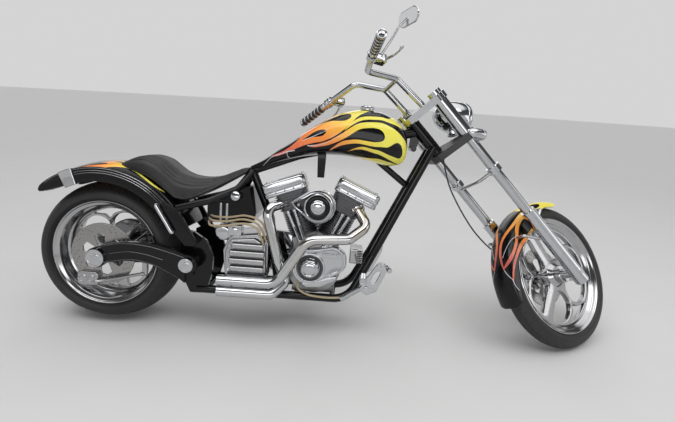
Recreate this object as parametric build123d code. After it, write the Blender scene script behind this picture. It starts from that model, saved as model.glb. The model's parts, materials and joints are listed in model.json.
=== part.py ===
from build123d import *
import math
import os

# Chopper motorcycle, long raked fork, wide rear tyre, V-twin engine.
# The pieces are drawn upright and straight ahead in millimetres: X forward, Y to the
# rider's left, Z up, the origin on the floor under the rear axle. The front assembly is
# then turned to its left stop and the whole machine is leaned on to its side stand.

# Stance
WHEELBASE = 2165.0
RAKE = 44.5
FORK_OFFSET = 95.0
LEAN = 5.5
STEER_LEFT = 38.0

# Rear wheel and tyre, an 18 inch rim with a 250 mm tyre
REAR_R = 328.5
REAR_BEAD_R = 228.6
REAR_LIP_R = 246.0
REAR_LIP_HALF = 104.0
REAR_TYRE_HALF = 125.0
REAR_SHOULDER_HALF = 112.0
REAR_SHOULDER_R = 292.0

# Front wheel and tyre, a 21 inch rim with a 90 mm tyre
FRONT_R = 347.5
FRONT_BEAD_R = 266.7
FRONT_LIP_R = 284.0
FRONT_LIP_HALF = 40.0
FRONT_TYRE_HALF = 48.0
FRONT_SHOULDER_HALF = 40.0
FRONT_SHOULDER_R = 325.0

TYRE_SEAT = 0.4
RIM_WALL = 8.0
SPOKE_THICK = 26.0
HUB_R = 44.0
SPOKE_ROOT_R = 84.0
ARM_SETS = 3

# Axles and brakes
AXLE_R = 12.0
AXLE_RUN = 0.05
ROTOR_R = 146.0
ROTOR_THICK = 6.0
ROTOR_Y_REAR = 118.0
ROTOR_Y_FRONT = 66.0
PULLEY_R = 110.0
BELT_THICK = 5.0
BELT_HALF = 10.0
BELT_Y = 141.0
BELT_GAP = 0.5
SPROCKET_R = 42.0
SPROCKET_X = 560.0
SPROCKET_Z = 320.0
FLANGE = 3.0

# Frame tubes
BACKBONE_R = 21.0
TUBE_R = 19.0
RAIL_R = 16.0
NECK_R = 29.0
STEM_R = 16.0
STEM_RUN = 0.05
NECK_LOW = 857.0
NECK_HIGH = 1031.0
CRADLE_Z = 190.0
CRADLE_REAR_X = 430.0
CRADLE_FRONT_X = 1132.0
PIVOT_X = 405.0
PIVOT_Z = 325.0
POST_TOP = (650.0, 746.0)
POST_KNEE = (742.0, 535.0)
POST_FOOT_X = 792.0
NOSE_X = 650.0
NOSE_Z = 753.0
BEND_X = 860.0
BEND_Z = 838.0
BACKBONE_NECK_T = 985.0

# Tank tunnel and the two saddles on the backbone that carry the tank
TUNNEL_GAP = 6.0
SADDLES = [(770.0, "nose"), (1180.0, "neck")]
SADDLE_LONG = 40.0
TANK_CORNER = 0.44
TANK_LUG_R = 13.0
TANK_LUG_HALF = 40.0
CAP_X = 1158.0
CAP_Y = -26.0
CAP_HIGH = 16.0
FILLER_R = 31.0

# Swingarm
ARM_IN = 156.0
ARM_OUT = 178.0
CAP_R = 40.0
CAP_LENGTH = 14.0
PIVOT_CAP_R = 32.0
PIVOT_TUBE_R = 30.0
PIVOT_SHAFT_R = 14.0

# Rear fender and struts
FENDER_GAP = 99.5
FENDER_R = REAR_R + FENDER_GAP
FENDER_SIDE_R = FENDER_R - 30.0
FENDER_EDGE_R = FENDER_R - 60.0
FENDER_HALF = 131.0
FENDER_WALL = 4.0
FENDER_TAIL = 142.0
FENDER_FRONT = 22.0
STRUT_OUT_R = FENDER_R - 26.0
STRUT_IN_R = STRUT_OUT_R - 66.0
STRUT_TAIL = 130.0
STRUT_FRONT = 38.0
STRUT_IN = 135.0
STRUT_OUT = 149.0

# Front fender
FRONT_FENDER_GAP = 26.5
FRONT_FENDER_R = FRONT_R + FRONT_FENDER_GAP
FRONT_FENDER_HALF = 62.0
FRONT_FENDER_WALL = 3.0
FRONT_FENDER_TAIL = 206.0
FRONT_FENDER_TIP = 84.0
FENDER_STAY_R = 7.0

# Seat
SEAT_HALF = 140.0

# Engine
CRANK_X = 965.0
CRANK_Z = 330.0
VEE_HALF = 22.5
ENGINE_TILT = 1.5
CASE_R = 126.0
CASE_HALF = 78.0
BARREL_LOW = 155.0
BARREL_HIGH = 285.0
FIN_R = 74.0
BARREL_R = 56.0
FINS = 8
FIN_THICK = 5.0
HEAD_HIGH = 362.0
ROCKER_HIGH = 432.0
ROCKER_LONG = 214.0
ROCKER_WIDE = 128.0
ROCKER_OUT = 20.0
ROCKER_SEAM = 24.0
HEAD_SLOTS = 4
HEAD_SLOT = 6.0
HEAD_SLOT_RISE = 16.0
PIPE_R = 24.0

# Gearbox and the ribs of its side cover: low, high, rear, front
GEARBOX_HALF = 88.0
SIDE_COVER = 134.0
RIB_PROUD = 7.0
RIBS = [(298, 322, 584, 740), (334, 358, 580, 742), (370, 394, 582, 742), (406, 428, 592, 736)]

# Fork, lengths along the steering axis from the axle's foot point
LEG_HALF = 120.0
LEG_TOP = 1088.0
LEG_LOW = -52.0
TREE_LOW = 836.0
TREE_HIGH = 1052.0
TREE_THICK = 32.0
COVER_R = 31.0
STANCHION_R = 23.0
SLIDER_R = 32.0
SLIDER_TOP = 385.0

# Handlebar, points for one side in the upright frame
BAR_R = 14.0
GRIP_R = 19.0

# Side stand
STAND_PIVOT = (858.0, 152.0, 190.0)
STAND_FOOT_X = 902.0
STAND_FOOT_Y = 345.0
STAND_FOLD = (-1.0, 0.10, -0.08)
STAND_R = 11.0
FOOT_R = 26.0
FOOT_THICK = 8.0

os.makedirs("parts", exist_ok=True)

rake = math.radians(RAKE)
STEER_UP = Vector(-math.sin(rake), 0, math.cos(rake))
FORE = Vector(math.cos(rake), 0, math.sin(rake))
FRONT_AXLE = Vector(WHEELBASE, 0, FRONT_R)
STEER_FOOT = FRONT_AXLE - FORE * FORK_OFFSET
FORK_PLANE = Plane(origin=STEER_FOOT, x_dir=FORE, z_dir=STEER_UP)

chassis = {}
steering = {}
bodies = {"frame": [], "steering": [], "front_wheel": [], "rear_wheel": [], "side_stand": []}


def add(body, name, shape):
    """Keep one finished piece under its node name and body."""
    bodies[body].append(name)
    group = steering if body in ("steering", "front_wheel") else chassis
    group[name] = shape


def fork_point(fore, y, up):
    """A point given by its distance ahead of the steering axis, side and height along it."""
    return STEER_FOOT + FORE * fore + STEER_UP * up + Vector(0, y, 0)


def rod(start, end, radius, end_radius=None):
    """A straight bar or cone between two points."""
    start, end = Vector(start), Vector(end)
    span = end - start
    plane = Plane(origin=(start + end) * 0.5, z_dir=span)
    if end_radius is None:
        return plane * Cylinder(radius, span.length)
    return plane * Cone(radius, end_radius, span.length)


def pipe(points, radius, bend):
    """A bent tube along straight runs joined by tangent arcs of one radius or one for each corner."""
    path = FilletPolyline(*[Vector(p) for p in points], radius=bend)
    start = Plane(origin=path @ 0, z_dir=path % 0)
    return sweep(start * Circle(radius), path=path)


def across(x, y0, y1, z, radius):
    """A bar across the machine."""
    return rod((x, y0, z), (x, y1, z), radius)


def side_plate(sketch, y0, y1):
    """A flat outline in X and Z made thick from y0 to y1."""
    low, high = min(y0, y1), max(y0, y1)
    return Plane(origin=(0, high, 0), x_dir=(1, 0, 0), z_dir=(0, -1, 0)) * extrude(sketch, high - low)


def polygon(points):
    """A closed flat outline through points."""
    return make_face(Polyline(*points, close=True))


def both(shape):
    """A piece and its twin on the other side, as separate solids."""
    return Compound(children=[*shape.solids(), *mirror(shape, Plane.XZ).solids()])


def wheel_profile(bead_r, lip_r, lip_half):
    """Half section of a drop-centre rim, radius up and width across."""
    well_r = bead_r - 20.0
    seat = lip_half - 9.0
    outer = [(-lip_half, lip_r), (-seat, lip_r), (-seat, bead_r), (-seat * 0.55, bead_r),
             (-seat * 0.4, well_r), (seat * 0.4, well_r), (seat * 0.55, bead_r), (seat, bead_r),
             (seat, lip_r), (lip_half, lip_r), (lip_half, lip_r - 7.0), (seat * 0.8, bead_r - RIM_WALL),
             (seat * 0.5, well_r - RIM_WALL), (-seat * 0.5, well_r - RIM_WALL),
             (-seat * 0.8, bead_r - RIM_WALL), (-lip_half, lip_r - 7.0)]
    return outer, well_r - RIM_WALL


def spin(points, centre):
    """Turn a section given as (across, radius) about a wheel's axle."""
    face = make_face(Polyline(*[(x, r) for x, r in points], close=True))
    # section X lies along +Y of the machine, section Y along the radius
    section = Plane(origin=centre, x_dir=(0, 1, 0), z_dir=(1, 0, 0)) * face
    return revolve(section, axis=Axis(centre, (0, 1, 0)), revolution_arc=360)


def spoke_disc(root_r, rim_r, thick, centre, turn):
    """Cut billet centre: six large windows in three pairs with a small one between each pair."""
    disc = Cylinder(rim_r + 4.0, thick)
    out_r = rim_r - 16.0
    for k in range(ARM_SETS):
        for side in (-1, 1):
            mid = turn + 360 / ARM_SETS * k + side * 30
            a0, a1 = mid - side * 17, mid + side * 22
            corners = [
                (root_r * math.cos(math.radians(mid - side * 12)), root_r * math.sin(math.radians(mid - side * 12))),
                (out_r * math.cos(math.radians(a0)), out_r * math.sin(math.radians(a0))),
                (out_r * 1.03 * math.cos(math.radians(mid)), out_r * 1.03 * math.sin(math.radians(mid))),
                (out_r * 0.93 * math.cos(math.radians(a1)), out_r * 0.93 * math.sin(math.radians(a1))),
                (root_r * 1.45 * math.cos(math.radians(mid + side * 24)),
                 root_r * 1.45 * math.sin(math.radians(mid + side * 24))),
            ]
            window = polygon(corners)
            window = fillet(window.vertices(), 22.0)
            disc -= extrude(window, thick, both=True)
        mid = turn + 360 / ARM_SETS * k + 60
        tip = root_r * 1.75
        small = polygon([
            (tip * math.cos(math.radians(mid)), tip * math.sin(math.radians(mid))),
            (out_r * math.cos(math.radians(mid - 13)), out_r * math.sin(math.radians(mid - 13))),
            (out_r * math.cos(math.radians(mid + 13)), out_r * math.sin(math.radians(mid + 13))),
        ])
        small = fillet(small.vertices(), 6.0)
        disc -= extrude(small, thick, both=True)
    return Plane(origin=centre, x_dir=(1, 0, 0), z_dir=(0, -1, 0)) * disc


def wheel(bead_r, lip_r, lip_half, centre, turn, hub_right, hub_left):
    """Rim, spoke disc and hub in one piece, bored for its axle."""
    section, inner_r = wheel_profile(bead_r, lip_r, lip_half)
    body = spin(section, centre)
    body += spoke_disc(SPOKE_ROOT_R, inner_r, SPOKE_THICK, centre, turn)
    cx, cz = centre[0], centre[2]
    body += across(cx, -hub_right, hub_left, cz, HUB_R)
    body -= across(cx, -hub_right - 1, hub_left + 1, cz, AXLE_R + AXLE_RUN)
    return body


def tyre(outer_r, bead_r, lip_r, lip_half, half, shoulder_half, shoulder_r, centre):
    """Closed tyre ring: round crown, bulged walls, seated on the rim with a small clearance."""
    seat = lip_half - 9.0 - TYRE_SEAT
    bead = bead_r + TYRE_SEAT
    lip = lip_r + TYRE_SEAT
    crown = ThreePointArc((-shoulder_half, shoulder_r), (0, outer_r), (shoulder_half, shoulder_r))
    mid_r = (shoulder_r + lip) / 2
    right = ThreePointArc((shoulder_half, shoulder_r), (half, mid_r), (lip_half - 4, lip))
    left = ThreePointArc((-lip_half + 4, lip), (-half, mid_r), (-shoulder_half, shoulder_r))
    base = Polyline((lip_half - 4, lip), (seat, lip), (seat, bead), (-seat, bead), (-seat, lip), (-lip_half + 4, lip))
    face = make_face(crown + right + base + left)
    section = Plane(origin=centre, x_dir=(0, 1, 0), z_dir=(1, 0, 0)) * face
    return revolve(section, axis=Axis(centre, (0, 1, 0)), revolution_arc=360)


def rotor(radius, y, centre, window):
    """Brake disc: ring, carrier and holes in one flat plate."""
    disc = Cylinder(radius, ROTOR_THICK) - Cylinder(AXLE_R + 6, ROTOR_THICK)
    holes = PolarLocations(radius - 42, 6) * Cylinder(window, ROTOR_THICK)
    disc -= holes
    return Plane(origin=(centre[0], y, centre[2]), x_dir=(1, 0, 0), z_dir=(0, -1, 0)) * disc


# Wheels
rear_centre = (0.0, 0.0, REAR_R)
front_centre = (WHEELBASE, 0.0, FRONT_R)
PULLEY_HALF = BELT_HALF + FLANGE
add("rear_wheel", "rear_wheel",
    wheel(REAR_BEAD_R, REAR_LIP_R, REAR_LIP_HALF, rear_centre, 40.0,
          ROTOR_Y_REAR - ROTOR_THICK / 2, BELT_Y - PULLEY_HALF))
add("rear_wheel", "rear_tyre",
    tyre(REAR_R, REAR_BEAD_R, REAR_LIP_R, REAR_LIP_HALF, REAR_TYRE_HALF, REAR_SHOULDER_HALF,
         REAR_SHOULDER_R, rear_centre))
add("rear_wheel", "rear_rotor", rotor(ROTOR_R, -ROTOR_Y_REAR, rear_centre, 14.0))
pulley = across(0, BELT_Y - PULLEY_HALF, BELT_Y + PULLEY_HALF, REAR_R, PULLEY_R)
pulley -= across(0, BELT_Y - PULLEY_HALF - 1, BELT_Y + PULLEY_HALF + 1, REAR_R, AXLE_R + AXLE_RUN)
add("rear_wheel", "rear_pulley", pulley)
add("front_wheel", "front_wheel",
    wheel(FRONT_BEAD_R, FRONT_LIP_R, FRONT_LIP_HALF, front_centre, 3.0,
          ROTOR_Y_FRONT - ROTOR_THICK / 2, ROTOR_Y_FRONT - ROTOR_THICK / 2))
add("front_wheel", "front_tyre",
    tyre(FRONT_R, FRONT_BEAD_R, FRONT_LIP_R, FRONT_LIP_HALF, FRONT_TYRE_HALF, FRONT_SHOULDER_HALF,
         FRONT_SHOULDER_R, front_centre))
add("front_wheel", "front_rotor", rotor(ROTOR_R, ROTOR_Y_FRONT, front_centre, 14.0))

# Frame
neck = rod(fork_point(0, 0, NECK_LOW), fork_point(0, 0, NECK_HIGH), NECK_R)
backbone_end = fork_point(0, 0, BACKBONE_NECK_T)
backbone = pipe([backbone_end, (BEND_X, 0, BEND_Z), (NOSE_X, 0, NOSE_Z)], BACKBONE_R, 300.0)
TIE_X, TIE_Z, TIE_R = 1382.0, 724.0, 15.0
backbone += rod((1130, 0, 908), (TIE_X, 0, TIE_Z), TIE_R)
backbone += side_plate(polygon([(948, 850), (988, 862), (984, 742), (952, 742)]), -20, 20)
roof_rise = BACKBONE_R + TUNNEL_GAP
nose_way = Vector(BEND_X - NOSE_X, 0, BEND_Z - NOSE_Z).normalized()
neck_way = Vector(backbone_end.X - BEND_X, 0, backbone_end.Z - BEND_Z).normalized()


def roof_point(x, way):
    """A point of the tank's tunnel roof above one straight run of the backbone."""
    return x, BEND_Z + (x - BEND_X) * way.Z / way.X + roof_rise / way.X


TUNNEL_HALF = BACKBONE_R + TUNNEL_GAP
tunnel_line = [roof_point(NOSE_X - 40, nose_way), roof_point(BEND_X, nose_way), roof_point(BEND_X + 60, neck_way),
               roof_point(1420, neck_way), (1420, 660), (NOSE_X - 40, 660)]
for x, way in SADDLES:
    way = nose_way if way == "nose" else neck_way
    up = Vector(-way.Z, 0, way.X)
    foot = Vector(x, 0, BEND_Z + (x - BEND_X) * way.Z / way.X)
    backbone += Plane(origin=foot + up * roof_rise / 2, x_dir=way, z_dir=up) * Box(SADDLE_LONG, 2 * BACKBONE_R,
                                                                               roof_rise)
LUG_X = 1381.0
LUG_Z = 904.0
lug = across(LUG_X, -TANK_LUG_HALF, TANK_LUG_HALF, LUG_Z, TANK_LUG_R)
lug += side_plate(polygon([(LUG_X - 18, LUG_Z + 4), (LUG_X + 16, LUG_Z), (LUG_X + 40, 990), (LUG_X - 10, 1010)]), -8, 8)
backbone += lug
backbone -= neck
down_top = (1470.0, 38.0, 919.0)
down_low = (1235.0, 62.0, 400.0)
corner = (CRADLE_FRONT_X, 98.0, CRADLE_Z)
down_tube = rod(down_top, down_low, TUBE_R)
downtubes = down_tube + mirror(down_tube, Plane.XZ) + across(TIE_X, -48, 48, TIE_Z, TIE_R)
downtubes -= neck
backbone -= downtubes
rail = pipe([down_low, corner, (CRADLE_REAR_X, 100, CRADLE_Z)], TUBE_R, 110.0)
PLATE_IN, PLATE_OUT = 92.0, 108.0
plate_line = [(350, 350), (352, 432), (412, 462), (470, 425), (502, 350), (498, 270), (478, 200), (452, 172),
              (398, 172), (372, 225), (358, 285)]
pivot_plate = polygon(plate_line)
pivot_plate = fillet(pivot_plate.vertices(), 8.0)
rail += side_plate(pivot_plate, PLATE_IN, PLATE_OUT)
CROSS_R = 14.0
cradle = rail + mirror(rail, Plane.XZ)
for x in (470.0, 792.0, 890.0, 1060.0):
    cradle += across(x, -100, 100, CRADLE_Z, CROSS_R)
cradle += across(PIVOT_X, -PLATE_IN - 2, PLATE_IN + 2, PIVOT_Z, PIVOT_TUBE_R)
cradle -= across(PIVOT_X, -200, 200, PIVOT_Z, PIVOT_SHAFT_R)
cradle -= downtubes

rail_line = [(652, 24, 750), (600, 85, 668), (482, 136, 612), (346, 142, 572)]
seat_rail = pipe(rail_line, RAIL_R, 60.0)
post = pipe([(POST_TOP[0], 0, POST_TOP[1]), (POST_KNEE[0], 0, POST_KNEE[1]), (POST_FOOT_X, 0, CRADLE_Z)],
            TUBE_R, 150.0)
rear_frame = seat_rail + mirror(seat_rail, Plane.XZ) + post + across(560, -112, 112, 648, 12.0)
rear_frame -= backbone
rear_frame -= cradle


def ring_plate(out_r, in_r, start, end, y0, y1, centre):
    """Flat curved band about a wheel centre between two angles."""
    a, mid, b = math.radians(start), math.radians((start + end) / 2), math.radians(end)
    outer = ThreePointArc(*[(out_r * math.cos(t), out_r * math.sin(t)) for t in (a, mid, b)])
    inner = ThreePointArc(*[(in_r * math.cos(t), in_r * math.sin(t)) for t in (b, mid, a)])
    face = make_face(outer + Line(outer @ 1, inner @ 0) + inner + Line(inner @ 1, outer @ 0))
    return side_plate(Pos(centre[0], centre[2]) * face, y0, y1)


def arc_band(top, bottom):
    """Flat outline between two three-point arcs that run the same way."""
    upper = ThreePointArc(*top)
    lower = ThreePointArc(*bottom)
    return make_face(upper + Line(upper @ 1, lower @ 1) + lower + Line(lower @ 0, upper @ 0))


strut = ring_plate(STRUT_OUT_R, STRUT_IN_R, STRUT_FRONT, STRUT_TAIL, STRUT_IN, STRUT_OUT, rear_centre)
stay_line = [(302, 592), (352, 566), (440, 420), (424, 402), (384, 402), (262, 540)]
strut += side_plate(polygon(stay_line), STRUT_IN, STRUT_OUT)
strut += side_plate(polygon([(392, 404), (424, 404), (436, 420), (420, 444), (388, 440)]), PLATE_OUT, STRUT_IN + 1)
rear_frame -= strut
rear_frame -= mirror(strut, Plane.XZ)
STAY_R = 11.0
stay = rod((262, 150 + STAY_R, 582), (331, 150 + STAY_R, 465), STAY_R)
stay += across(262, STRUT_OUT, 150 + STAY_R, 582, 8.0)
stay += across(331, STRUT_IN, 150 + STAY_R, 465, 8.0)
stay -= strut

arm_mid_z = (REAR_R + PIVOT_Z) / 2
arm_face = arc_band([(-12, REAR_R + 43.5), (190, arm_mid_z + 85.0), (PIVOT_X - 1, PIVOT_Z + 41)],
                    [(-6, REAR_R - 42.5), (170, arm_mid_z - 3.0), (PIVOT_X - 9, PIVOT_Z - 85)])
arm_face += Pos(0, REAR_R) * Circle(46)
arm_face += Pos(PIVOT_X, PIVOT_Z) * Circle(44)
arm = side_plate(arm_face, ARM_IN, ARM_OUT)
arm += across(PIVOT_X, PLATE_OUT, ARM_IN + 1, PIVOT_Z, PIVOT_TUBE_R)
arm -= across(0, ARM_IN - 1, ARM_OUT + 1, REAR_R, AXLE_R)
arm -= across(PIVOT_X, PLATE_OUT - 1, ARM_OUT + 1, PIVOT_Z, PIVOT_SHAFT_R)
swingarm = arm + mirror(arm, Plane.XZ) + across(345, -ARM_IN - 1, ARM_IN + 1, 268, 11.0)
pivot_shaft = across(PIVOT_X, -ARM_OUT, ARM_OUT, PIVOT_Z, PIVOT_SHAFT_R)
pivot_shaft += across(PIVOT_X, ARM_OUT, ARM_OUT + CAP_LENGTH, PIVOT_Z, PIVOT_CAP_R)
pivot_shaft += across(PIVOT_X, -ARM_OUT, -ARM_OUT - CAP_LENGTH, PIVOT_Z, PIVOT_CAP_R)
SIDE_PLAY = 0.5
COLLAR_R = 24.0
rear_axle = across(0, -ARM_OUT, ARM_OUT, REAR_R, AXLE_R)
rear_axle += across(0, ARM_OUT, ARM_OUT + CAP_LENGTH, REAR_R, CAP_R)
rear_axle += across(0, -ARM_OUT, -ARM_OUT - CAP_LENGTH, REAR_R, CAP_R)
rear_axle += across(0, -ARM_IN, -(ROTOR_Y_REAR + ROTOR_THICK / 2 + SIDE_PLAY), REAR_R, COLLAR_R)

add("frame", "neck", neck - rod(fork_point(0, 0, NECK_LOW - 1), fork_point(0, 0, NECK_HIGH + 1),
                                STEM_R + STEM_RUN))
add("frame", "backbone", backbone)
add("frame", "downtubes", downtubes)
add("frame", "cradle", cradle)
add("frame", "rear_frame", rear_frame)
add("frame", "fender_struts", both(strut))
add("frame", "stay_rods", both(stay))
add("frame", "swingarm", swingarm)
add("frame", "pivot_shaft", pivot_shaft)
add("frame", "rear_axle", rear_axle)


def fender(centre, crown_r, side_r, edge_r, half, wall, start, end):
    """Curved shell about a wheel from one angle to a lower one."""
    outer = ThreePointArc((-half, side_r), (0, crown_r), (half, side_r))
    inner = ThreePointArc((half - wall, side_r - wall * 0.6), (0, crown_r - wall), (-half + wall, side_r - wall * 0.6))
    face = make_face(Line((-half, edge_r), outer @ 0) + outer + Polyline(outer @ 1, (half, edge_r), (half - wall, edge_r),
                                                                      inner @ 0)
                     + inner + Polyline(inner @ 1, (-half + wall, edge_r), (-half, edge_r)))
    phi = math.radians(start)
    section = Plane(origin=centre, x_dir=(0, 1, 0), z_dir=(math.sin(phi), 0, -math.cos(phi)))
    return revolve(section * face, axis=Axis(centre, (0, 1, 0)), revolution_arc=start - end)


rear_fender = fender(rear_centre, FENDER_R, FENDER_SIDE_R, FENDER_EDGE_R, FENDER_HALF, FENDER_WALL, FENDER_TAIL,
                     FENDER_FRONT)
boss_z = math.sqrt((FENDER_R - 45.0) ** 2 - 150.0 ** 2)
boss = across(-150, FENDER_HALF - 1, STRUT_IN, REAR_R + boss_z, 9.0)
boss += across(150, FENDER_HALF - 1, STRUT_IN, REAR_R + boss_z, 9.0)
rear_fender += boss + mirror(boss, Plane.XZ)
rear_fender -= rear_frame
add("frame", "rear_fender", rear_fender)
tail_angle = math.radians(FENDER_TAIL - 5)
lamp_at = Vector(FENDER_R * math.cos(tail_angle), 0, REAR_R + FENDER_R * math.sin(tail_angle))
tail_lamp = Plane(origin=lamp_at, x_dir=(0, 1, 0), z_dir=(math.cos(tail_angle), 0, math.sin(tail_angle))) * \
    extrude(SlotOverall(86, 30), 14)
add("frame", "tail_lamp", tail_lamp - rear_fender)

# Seat
seat_top = [(78, 748), (120, 776), (182, 790), (240, 776), (330, 716), (420, 697), (520, 713), (638, 768)]
seat_low = [(640, 757), (590, 716), (470, 642), (372, 612), (340, 600), (280, 656), (200, 710)]
seat_side = make_face(
    Line(seat_top[0], seat_top[1])
    + ThreePointArc(seat_top[1], seat_top[2], seat_top[3])
    + Line(seat_top[3], seat_top[4])
    + ThreePointArc(seat_top[4], seat_top[5], seat_top[6])
    + Polyline(seat_top[6], seat_top[7], *seat_low, seat_top[0]))
seat = side_plate(seat_side, -SEAT_HALF, SEAT_HALF)
seat_plan = polygon([(60, -92), (120, -118), (300, -140), (430, -140), (530, -108), (600, -74), (660, -60),
                     (660, 60), (600, 74), (530, 108), (430, 140), (300, 140), (120, 118), (60, 92)])
seat &= Pos(0, 0, 400) * extrude(seat_plan, 500)
fender_space = across(0, -160, 160, REAR_R, FENDER_R + 0.4)
seat -= fender_space
seat -= rear_frame
seat -= backbone
seat = max(seat.solids(), key=lambda piece: piece.volume)
add("frame", "seat", seat)

# Fuel tank: sections from the tail to the front, top, bottom and half width
tank_table = [
    (644, 775, 752, 24), (760, 852, 795, 66), (900, 956, 836, 114), (1060, 1045, 850, 145),
    (1190, 1060, 832, 152), (1290, 1024, 820, 133), (1348, 950, 852, 62),
]
sections = []
for x, top, bottom, half in tank_table:
    height = top - bottom
    corner_r = min(height, 2 * half) * TANK_CORNER
    outline = RectangleRounded(2 * half, height, corner_r)
    sections.append(Plane(origin=(x, 0, (top + bottom) / 2), x_dir=(0, 1, 0), z_dir=(1, 0, 0)) * outline)
tank = loft(sections)
tank -= side_plate(polygon(tunnel_line), -TUNNEL_HALF, TUNNEL_HALF)
add("frame", "fuel_tank", tank)
tank_top = 1061.0
filler = Pos(CAP_X, CAP_Y, tank_top) * (Cylinder(FILLER_R, 2 * CAP_HIGH) + Pos(0, 0, CAP_HIGH) * Cylinder(FILLER_R - 7, 8))
add("frame", "filler_cap", max((filler - tank).solids(), key=lambda piece: piece.volume))
oil_face = polygon([(470, 512), (680, 520), (690, 560), (652, 690), (600, 655), (560, 628), (470, 592)])
oil_tank = side_plate(fillet(oil_face.vertices(), 12.0), -104, 104)
oil_tank += Plane(origin=(604, -118, 640), z_dir=(0, -1, 0.2)) * Cylinder(20, 34)
oil_tank -= rear_frame
add("frame", "oil_tank", max(oil_tank.solids(), key=lambda piece: piece.volume))

# Engine
crank = Vector(CRANK_X, 0, CRANK_Z)


def engine_plane(lean_angle):
    """Local frame on the crank: Z up one cylinder, X ahead, Y across."""
    a = math.radians(lean_angle)
    return Plane(origin=crank, x_dir=(math.cos(a), 0, -math.sin(a)), z_dir=(math.sin(a), 0, math.cos(a)))


planes = {"front": engine_plane(VEE_HALF + ENGINE_TILT), "rear": engine_plane(-VEE_HALF + ENGINE_TILT)}
case = across(CRANK_X, -CASE_HALF, CASE_HALF, CRANK_Z, CASE_R)
for plane in planes.values():
    case += plane * (Pos(0, 0, BARREL_LOW / 2) * Box(118, 120, BARREL_LOW))
case += Pos(CRANK_X, 0, CRADLE_Z + CROSS_R + 14) * Box(196, 130, 28)
cover = side_plate(Pos(950, 335) * Circle(84) + Pos(1050, 372) * Circle(66)
                   + polygon([(905, 405), (1030, 435), (1090, 320), (1000, 262), (930, 254)]),
                   -CASE_HALF, -CASE_HALF - 44)
cover += across(950, -CASE_HALF - 44, -CASE_HALF - 70, 335, 42)
cover -= case
cylinders, rockers = {}, {}
for name, plane in planes.items():
    sign = 1 if name == "front" else -1
    barrel = Pos(0, 0, (BARREL_LOW + BARREL_HIGH) / 2) * Cylinder(BARREL_R, BARREL_HIGH - BARREL_LOW)
    pitch = (BARREL_HIGH - BARREL_LOW - FIN_THICK) / FINS
    for k in range(FINS):
        barrel += Pos(0, 0, BARREL_LOW + 10 + FIN_THICK + k * pitch) * Cylinder(FIN_R, FIN_THICK)
    head = Pos(0, -4, (BARREL_HIGH + HEAD_HIGH) / 2) * Box(150, 168, HEAD_HIGH - BARREL_HIGH)
    head = fillet(head.edges().filter_by(Axis.Z), 22.0)
    core = Pos(0, -4, (BARREL_HIGH + HEAD_HIGH) / 2) * Box(126, 144, HEAD_HIGH - BARREL_HIGH)
    for level in range(HEAD_SLOTS):
        slot_z = BARREL_HIGH + HEAD_SLOT_RISE * (level + 0.7)
        head -= Pos(0, -4, slot_z) * Box(160, 180, HEAD_SLOT) - core
    cylinder = plane * (barrel + head)
    vee = engine_plane(ENGINE_TILT) * (Pos(-sign * 149.5, 0, 250) * Box(300, 300, 700))
    cylinder -= vee
    cylinder -= case
    rocker = Pos(0, 0, (HEAD_HIGH + ROCKER_HIGH) / 2) * Box(ROCKER_LONG, ROCKER_WIDE, ROCKER_HIGH - HEAD_HIGH)
    rocker = fillet(rocker.edges().filter_by(Axis.Z), 16.0)
    rocker = chamfer(rocker.faces().sort_by(Axis.Z)[-1].edges(), 5.0)
    seam = Box(ROCKER_LONG, ROCKER_WIDE, 3.0) - Box(ROCKER_LONG - 6, ROCKER_WIDE - 6, 3.0)
    rocker -= Pos(0, 0, HEAD_HIGH + ROCKER_SEAM) * seam
    rocker = plane * (Pos(sign * ROCKER_OUT, 0, 0) * rocker)
    rocker -= vee
    rocker -= backbone
    rocker -= rear_frame
    cylinders[name] = cylinder
    rockers[name] = rocker
add("frame", "cylinders", Compound(children=list(cylinders.values())))
add("frame", "rocker_boxes", Compound(children=list(rockers.values())))
add("frame", "crankcase", case)
add("frame", "cam_cover", cover)
TAPPET_R = 9.0
tubes = []
for name, offsets in (("front", (2, 34)), ("rear", (-2, -34))):
    for offset in offsets:
        low = planes[name] * (Pos(offset * 0.6, -CASE_HALF - 10, 110) * Vertex(0, 0, 0))
        high = planes[name] * (Pos(offset, -TAPPET_R - FIN_R - 2, BARREL_HIGH) * Vertex(0, 0, 0))
        tubes.append(rod(low.center(), high.center(), TAPPET_R))
tube_set = tubes[0]
for tube in tubes[1:]:
    tube_set += tube
for other in (cover, case, *cylinders.values()):
    tube_set -= other
add("frame", "pushrod_tubes", tube_set)
AIR_X, AIR_Z, AIR_R = 971.0, 622.0, 72.0
air = side_plate(Pos(AIR_X, AIR_Z) * Circle(78) + polygon([(846, 632), (858, 612), (930, 560), (1010, 690), (930, 690)]),
                 -100, -122)
air += across(AIR_X, -120, -146, AIR_Z, AIR_R)
air += across(AIR_X, -144, -156, AIR_Z, AIR_R - 10)
air += across(AIR_X, -154, -162, AIR_Z, AIR_R - 26)
intake = across(AIR_X, -100, -22, AIR_Z - 12, 30) + across(AIR_X, -34, 34, AIR_Z - 12, 24)
intake += rod((880, 0, 600), (1060, 0, 596), 24)
for name in planes:
    intake -= cylinders[name]
    intake -= rockers[name]
    air -= cylinders[name]
    air -= rockers[name]
intake = max(intake.solids(), key=lambda piece: piece.volume)
air -= tube_set
air -= intake
add("frame", "air_cleaner", max(air.solids(), key=lambda piece: piece.volume))
add("frame", "intake", intake)

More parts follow.
